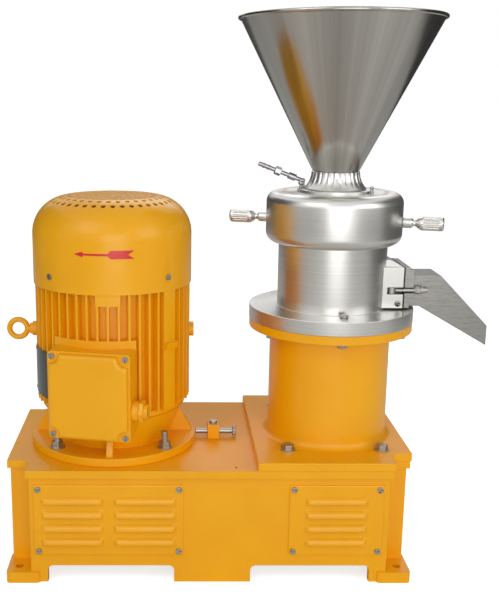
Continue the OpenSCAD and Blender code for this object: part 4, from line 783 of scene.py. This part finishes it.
class MILL_OT_ring(bpy.types.Operator):
    """Makes the adjusting ring with its rounded rim, its graduation marks and the two fluted grips."""

    bl_idname = "mill.ring"
    bl_label = "Ring and grips"

    def execute(self, context):
        """The ring is a stepped profile, rounded at its rim and turned round the axis."""
        shape = context.scene.mill_shape
        low, high = span("adjusting_ring")
        outer = (high[0] - low[0]) / 2
        neck, bore, rim = 84.3, 66.3, 18.0
        step_z = high[2] - 17
        corners = [
            (neck, low[2], 1), (outer, low[2], rim), (outer, high[2], rim), (bore, high[2], 1.2),
            (bore, step_z, 0.5), (neck, step_z, 0.5),
        ]
        surface = lathe(rounded(corners, 12), (*MILL_AXIS, 0), segments=224)
        make_piece(
            "turned_ring", surface, "turned_stainless", "adjust_ring", ("adjusting_ring",)
        )
        self.mark_ring(shape, bore + 19, high[2])
        for side in ("left", "right"):
            self.make_handle(shape, side, outer)
        return {"FINISHED"}

    def mark_ring(self, shape, radius, z):
        """Red bars along the ring's radii in two groups, every fourth one longer."""
        pitch, half_width, short, long, proud = 5, 0.9, 8, 13, 0.2
        marks = []
        for i, middle in ((i, middle) for middle in (172, -16) for i in range(shape.marks)):
            angle = math.radians(middle + pitch * (i - (shape.marks - 1) / 2))
            end = radius + (short if i % 4 else long)
            out = np.array([math.cos(angle), math.sin(angle)])
            across = np.array([-math.sin(angle), math.cos(angle)])
            places = np.linspace(radius, end, 6), np.linspace(-half_width, half_width, 3)
            reach, wide = np.meshgrid(*places, indexing="ij")
            flat = MILL_AXIS + reach[..., None] * out + wide[..., None] * across
            crown = z + proud - 0.1 * np.abs(wide)
            points = np.concatenate([flat, crown[..., None]], -1).reshape(-1, 3)
            marks.append((points, grid_faces(*reach.shape)))
        make_piece("ring_marks", joined(marks), "signal_red", "adjust_ring", closed=False)

    def make_handle(self, shape, side, ring_radius):
        """A turned stem, collar and waist with a fluted, crowned grip, along the ring's radius."""
        low, high = span(f"{side}_handle")
        middle = (low + high) / 2
        along = middle - np.array([*MILL_AXIS, middle[2]])
        along /= np.linalg.norm(along)
        near, far = ring_radius + 0.3, 188.0
        stem, collar, waist, grip, flute_depth = 4.9, 9.0, 5.2, 12.0, 0.9
        flute_near, flute_far, run_out = far - 36, far - 5, 2.5
        fluted = [(grip, x, 0) for x in np.linspace(flute_near, flute_far, 16)]
        profile = rounded(
            [
                (0, near - 12, 0), (stem, near - 12, 0.5), (stem, near, 0), (collar, near, 1.2),
                (collar, near + 14, 1.5), (waist + 0.3, near + 18, 2), (waist, near + 21, 2),
                (grip - 1.5, far - 41, 2.5), (grip, far - 38, 1), *fluted, (grip, far - 2.5, 1.5),
                (grip - 2.5, far, 1.5), (0, far, 0),
            ],
            6,
        )

        def flutes(angle, x):
            """Cosine hollows round the grip that run out at both of its ends."""
            window = np.clip((x - flute_near) / run_out, 0, 1) * np.clip((flute_far - x) / run_out, 0, 1)
            return -flute_depth * window * np.clip(np.cos(shape.grip_flutes * angle), -0.2, 1)

        surface = lathe(profile, (*MILL_AXIS, middle[2]), along, shape.grip_flutes * 10, flutes)
        make_piece(
            f"{side}_fluted_grip", surface, "turned_stainless", f"{side}_grip",
            (f"{side}_handle",),
        )


class MILL_OT_covers(bpy.types.Operator):
    """Makes the four side covers of pressed sheet, each with its rows of louvres."""

    bl_idname = "mill.covers"
    bl_label = "Side covers"

    def execute(self, context):
        shape = context.scene.mill_shape
        for node, columns in (
            ("front_left_cover", 2), ("front_right_cover", 1), ("rear_left_cover", 2), ("rear_right_cover", 1)
        ):
            self.make_cover(shape, node, columns)
        return {"FINISHED"}

    def make_cover(self, shape, node, columns):
        """The sheet's face is a height over the wall: flat, with a quarter-round hood over each slot."""
        low, high = span(node)
        wall, outward = (high[1], -1) if node.startswith("front") else (low[1], 1)
        rows, pitch, hood, gap, length, hood_end = 4, 25.0, 11.0, 20.0, 104.0, 6.0
        sheet, hood_sheet, edge_r, cell, drop = 3.0, 1.2, 1.5, 1.5, 0.01
        middle_x, middle_z = (low[0] + high[0]) / 2, (low[2] + high[2]) / 2
        slots = [middle_z + (r - rows / 2 + 0.5) * pitch - 6 for r in range(rows)]
        under = [slot - drop for slot in slots]
        x = np.linspace(low[0], high[0], int((high[0] - low[0]) / cell))
        z = np.unique(np.concatenate([np.arange(low[2], high[2], cell), [high[2]], slots, under]))
        xs, zs = np.meshgrid(x, z, indexing="ij")
        centres = [middle_x + (c - (columns - 1) / 2) * (length + gap) for c in range(columns)]
        rise = np.zeros_like(xs)
        for slot in slots:
            up = np.clip((zs - slot) / hood, 0, 1)
            bulge = np.where(zs >= slot, np.sqrt(np.clip(1 - up**2, 0, 1)), 0)
            for centre in centres:
                end = np.clip((length / 2 - np.abs(xs - centre)) / hood_end, 0, 1)
                rise = np.maximum(rise, bulge * np.sqrt(1 - (1 - end) ** 2))
        edge = np.minimum.reduce([xs - low[0], high[0] - xs, zs - low[2], high[2] - zs])
        relief = sheet - 0.5 * (1 - np.clip(edge / edge_r, 0, 1)) ** 2 + shape.louvre_rise * rise
        thick = sheet - (sheet - hood_sheet) * np.clip(4 * rise, 0, 1)
        face = np.stack([xs, wall + outward * relief, zs], -1)
        back = np.stack([xs, wall + outward * (relief - np.minimum(thick, relief)), zs], -1)
        mouth = np.isin(np.round(z[:-1], 3), np.round(under, 3))[None, :] & (
            (rise[:-1, 1:] > 0.3) & (rise[1:, 1:] > 0.3)
        )
        name = node.replace("cover", "pressed_cover")
        surface = shell(face, back, ~mouth)
        make_piece(name, surface, "gloss_enamel", "frame", (node,), smooth_angle=50)


class MILL_OT_cowl(bpy.types.Operator):
    """Smooths the fan cowl and puts the red direction arrow and the bare plate on the motor."""

    bl_idname = "mill.cowl"
    bl_label = "Cowl, arrow and plate"

    def execute(self, context):
        softened("fan_cowl", "spun_cowl", "gloss_enamel", 0.35, 2, 50)
        softened("motor_rear_shield", "cast_rear_shield", "gloss_enamel", 1.0)
        self.make_arrow()
        self.make_plate()
        return {"FINISHED"}

    def make_arrow(self):
        """Two mirrored halves laid on the cowl: each lies between an inner and an outer edge along it."""
        low, high = span("fan_cowl")
        radius = (high[0] - low[0]) / 2
        along_shares = np.array([0, 0.13, 0.15, 0.56, 0.61, 0.9, 1.0])
        outer = np.array([0.4, 4.8, 1.7, 2.0, 7.0, 7.0, 7.0])
        inner = np.array([0, 0, 0, 0, 0, 0, 6.6])
        start, end, height, proud = -54.0, 44.0, low[2] + 68.0, 0.25
        place = np.unique(np.concatenate([along_shares, np.linspace(0, 1, 60)]))
        angle = -math.pi / 2 + np.arcsin((start + (end - start) * place) / radius)
        near, far = (np.interp(place, along_shares, side)[:, None] for side in (inner, outer))
        share = np.linspace(0, 1, 3)[None, :]
        v = near * (1 - share) + far * share
        x = MOTOR_AXIS[0] + (radius + proud) * np.cos(angle)[:, None] + 0 * v
        y = MOTOR_AXIS[1] + (radius + proud) * np.sin(angle)[:, None] + 0 * v
        faces = grid_faces(*v.shape)
        halves = []
        for sign, turned in ((-1, faces[:, ::-1]), (1, faces)):
            halves.append((np.stack([x, y, height + sign * v], -1).reshape(-1, 3), turned))
        make_piece("direction_arrow", joined(halves), "signal_red", "motor_unit", closed=False)

    def make_plate(self):
        """A thin plate bent round the fins, with a rivet at each corner."""
        low, _ = span("motor_frame")
        radius, middle, half = 137.4, math.radians(-153), math.radians(17)
        foot, height, thick, inset = 14.0, 84.0, 1.2, 6.0
        z_low, z_high = low[2] + foot, low[2] + foot + height
        places = np.linspace(middle - half, middle + half, 24), np.linspace(z_low, z_high, 4)
        angle, z = np.meshgrid(*places, indexing="ij")
        layers = [
            np.stack([MOTOR_AXIS[0] + reach * np.cos(angle), MOTOR_AXIS[1] + reach * np.sin(angle), z], -1)
            for reach in (radius, radius + thick)
        ]
        make_piece("bare_plate", shell(*layers), "plate_green", "motor_unit")
        head = rounded([(0, 0, 0), (2.6, 0, 0.3), (2.2, 1.4, 0.9), (0, 1.7, 0)])
        rivets = []
        for turn in (middle - half * 0.9, middle + half * 0.9):
            for level in (z_low + inset, z_high - inset):
                out = np.array([math.cos(turn), math.sin(turn), 0])
                seat = MOTOR_AXIS + (radius + 1) * out[:2]
                rivets.append(lathe(head, (*seat, level), out, 16))
        make_piece("plate_rivets", joined(rivets), "zinc_plate", "motor_unit")


class MILL_OT_stage(bpy.types.Operator):
    """Lays a pale floor, hangs the soft lamps and sets the camera where the photograph was taken."""

    bl_idname = "mill.stage"
    bl_label = "Stage"

    def execute(self, context):
        settings = context.scene.mill_stage
        self.lay_floor()
        self.light_sky(settings)
        side, near, far, tall, short = 2300, -500, 3600, 2600, 1500
        self.hang_flag("left_flag", (-side, near), (-side, far), tall, "#484848", "#505050")
        self.hang_flag("right_flag", (side, near), (side, far), tall, "#484848", "#505050")
        self.hang_flag("back_flag", (-side, far), (side, far), short, "#6A6A6A", "#727272")
        aim = Vector((60, -15, 420)) * MM
        for name, place, size, power in (
            ("key_lamp", (-1500, -1900, 2300), 1500, settings.key),
            ("front_lamp", (250, -3400, 700), 2000, settings.front),
            ("fill_lamp", (1900, -1500, 1400), 1300, settings.fill),
            ("back_lamp", (300, 1800, 2100), 1500, settings.fill),
        ):
            lamp = bpy.data.lights.new(name, "AREA")
            lamp.size, lamp.energy = size * MM, power
            holder = bpy.data.objects.new(name, lamp)
            holder.location = Vector(place) * MM
            holder.rotation_euler = (aim - holder.location).to_track_quat("-Z", "Y").to_euler()
            context.scene.collection.objects.link(holder)
        self.set_camera(context, settings)
        context.scene.view_settings.view_transform = "Standard"
        return {"FINISHED"}

    def lay_floor(self):
        """A flat pale floor, wide enough for every view."""
        half = 30000
        corners = np.array([[-half, -half, 0], [half, -half, 0], [half, half, 0], [-half, half, 0]]) * MM
        mesh = bpy.data.meshes.new("floor")
        mesh.from_pydata(corners.tolist(), [], [(0, 1, 2, 3)])
        made, tree, shader, place = new_finish("pale_floor")
        tone = two_tones(tree, noise(tree, place, 300), "#F2F2F0", "#F7F7F5")
        tree.links.new(tone, shader.inputs["Base Color"])
        shader.inputs["Roughness"].default_value = 0.9
        shader.inputs["Specular IOR Level"].default_value = 0.0
        shader.inputs["Emission Color"].default_value = linear("#FFFFFF")
        seen = add_node(tree, "ShaderNodeLightPath").outputs["Is Camera Ray"]
        tree.links.new(spread(tree, seen, 0.0, 0.72), shader.inputs["Emission Strength"])
        mesh.materials.append(made)
        floor = bpy.data.objects.new("floor", mesh)
        bpy.context.scene.collection.objects.link(floor)

    def hang_flag(self, name, start, end, top, low, high):
        """A grey cloth that only reflections see, as a studio hangs it, so that steel gets dark flanks."""
        corners = np.array([[*start, 0], [*end, 0], [*end, top], [*start, top]]) * MM
        mesh = bpy.data.meshes.new(name)
        mesh.from_pydata(corners.tolist(), [], [(0, 1, 2, 3)])
        made, tree, shader, place = new_finish(f"{name}_cloth")
        tone = two_tones(tree, noise(tree, place, 20), low, high)
        tree.links.new(tone, shader.inputs["Base Color"])
        shader.inputs["Roughness"].default_value = 1.0
        mesh.materials.append(made)
        flag = bpy.data.objects.new(mesh.name, mesh)
        bpy.context.scene.collection.objects.link(flag)
        flag.visible_camera = flag.visible_diffuse = flag.visible_shadow = False

    def light_sky(self, settings):
        """White behind and in reflections, softer as a light."""
        world = bpy.data.worlds.new("studio")
        bpy.context.scene.world = world
        world.use_nodes = True
        tree = world.node_tree
        tree.nodes.clear()
        path = add_node(tree, "ShaderNodeLightPath").outputs
        seen = path["Is Camera Ray"]
        for ray in ("Is Glossy Ray", "Is Transmission Ray"):
            larger = add_node(tree, "ShaderNodeMath", {"operation": "MAXIMUM"}, {0: seen, 1: path[ray]})
            seen = larger.outputs["Value"]
        inputs = {"Color": linear("#FFFFFF"), "Strength": spread(tree, seen, settings.world, 1.0)}
        sky = add_node(tree, "ShaderNodeBackground", inputs=inputs)
        add_node(tree, "ShaderNodeOutputWorld", inputs={"Surface": sky.outputs["Background"]})

    def set_camera(self, context, settings):
        """The camera fitted to the object's edges in the photograph.

        Angles are in radians, and focal length, centre and picture size in pixels.
        """
        yaw, pitch, roll = -0.00908, 0.21849, 0.00520
        focal, centre_x, width, height = 925.93, 180.0, 499, 601
        (cy, sy), (cp, sp), (cr, sr) = ((math.cos(a), math.sin(a)) for a in (yaw, pitch, roll))
        turn = np.array([[cy, sy, 0], [-sy, cy, 0], [0, 0, 1]])
        tip = np.array([[1, 0, 0], [0, cp, -sp], [0, sp, cp]])
        bank = np.array([[cr, -sr, 0], [sr, cr, 0], [0, 0, 1]])
        level = np.array([[1, 0, 0], [0, 0, -1], [0, 1, 0]])
        to_camera = np.diag([1, -1, -1]) @ bank @ tip @ level @ turn
        lens = bpy.data.cameras.new("camera")
        lens.sensor_width = 36
        lens.lens = focal / height * lens.sensor_width
        lens.shift_x = (width / 2 - centre_x) / height
        lens.clip_end = 100
        camera = bpy.data.objects.new("camera", lens)
        turned = Matrix(to_camera.T.tolist()).to_4x4()
        camera.matrix_world = Matrix.Translation(Vector(settings.camera_place) * MM) @ turned
        context.scene.collection.objects.link(camera)
        context.scene.camera = camera


class MILL_PT_panel(bpy.types.Panel):
    """Lists the steps and their settings."""

    bl_idname = "MILL_PT_panel"
    bl_label = "Colloid mill"
    bl_space_type = "VIEW_3D"
    bl_region_type = "UI"
    bl_category = "Mill"

    def draw(self, context):
        for group in (context.scene.mill_finish, context.scene.mill_shape, context.scene.mill_stage):
            for name in group.bl_rna.properties.keys():
                if name not in ("rna_type", "name"):
                    self.layout.prop(group, name)
        for step in STEPS:
            self.layout.operator(step.bl_idname)


STEPS = (
    MILL_OT_finishes, MILL_OT_stage, MILL_OT_castings, MILL_OT_terminal, MILL_OT_fasteners,
    MILL_OT_hopper, MILL_OT_ring, MILL_OT_covers, MILL_OT_cowl,
)
GROUPS = {"mill_finish": MillFinishSettings, "mill_shape": MillShapeSettings, "mill_stage": MillStageSettings}


def register():
    """Registers the settings, the steps and the panel."""
    for made in (*GROUPS.values(), *STEPS, MILL_PT_panel):
        bpy.utils.register_class(made)
    for name, group in GROUPS.items():
        setattr(bpy.types.Scene, name, PointerProperty(type=group))


def unregister():
    """Takes away what register() adds."""
    for name in GROUPS:
        delattr(bpy.types.Scene, name)
    for made in (MILL_PT_panel, *STEPS[::-1], *GROUPS.values()):
        bpy.utils.unregister_class(made)


def main():
    register()
    for step in STEPS:
        group, name = step.bl_idname.split(".")
        getattr(getattr(bpy.ops, group), name)()


if __name__ == "__main__":
    main()
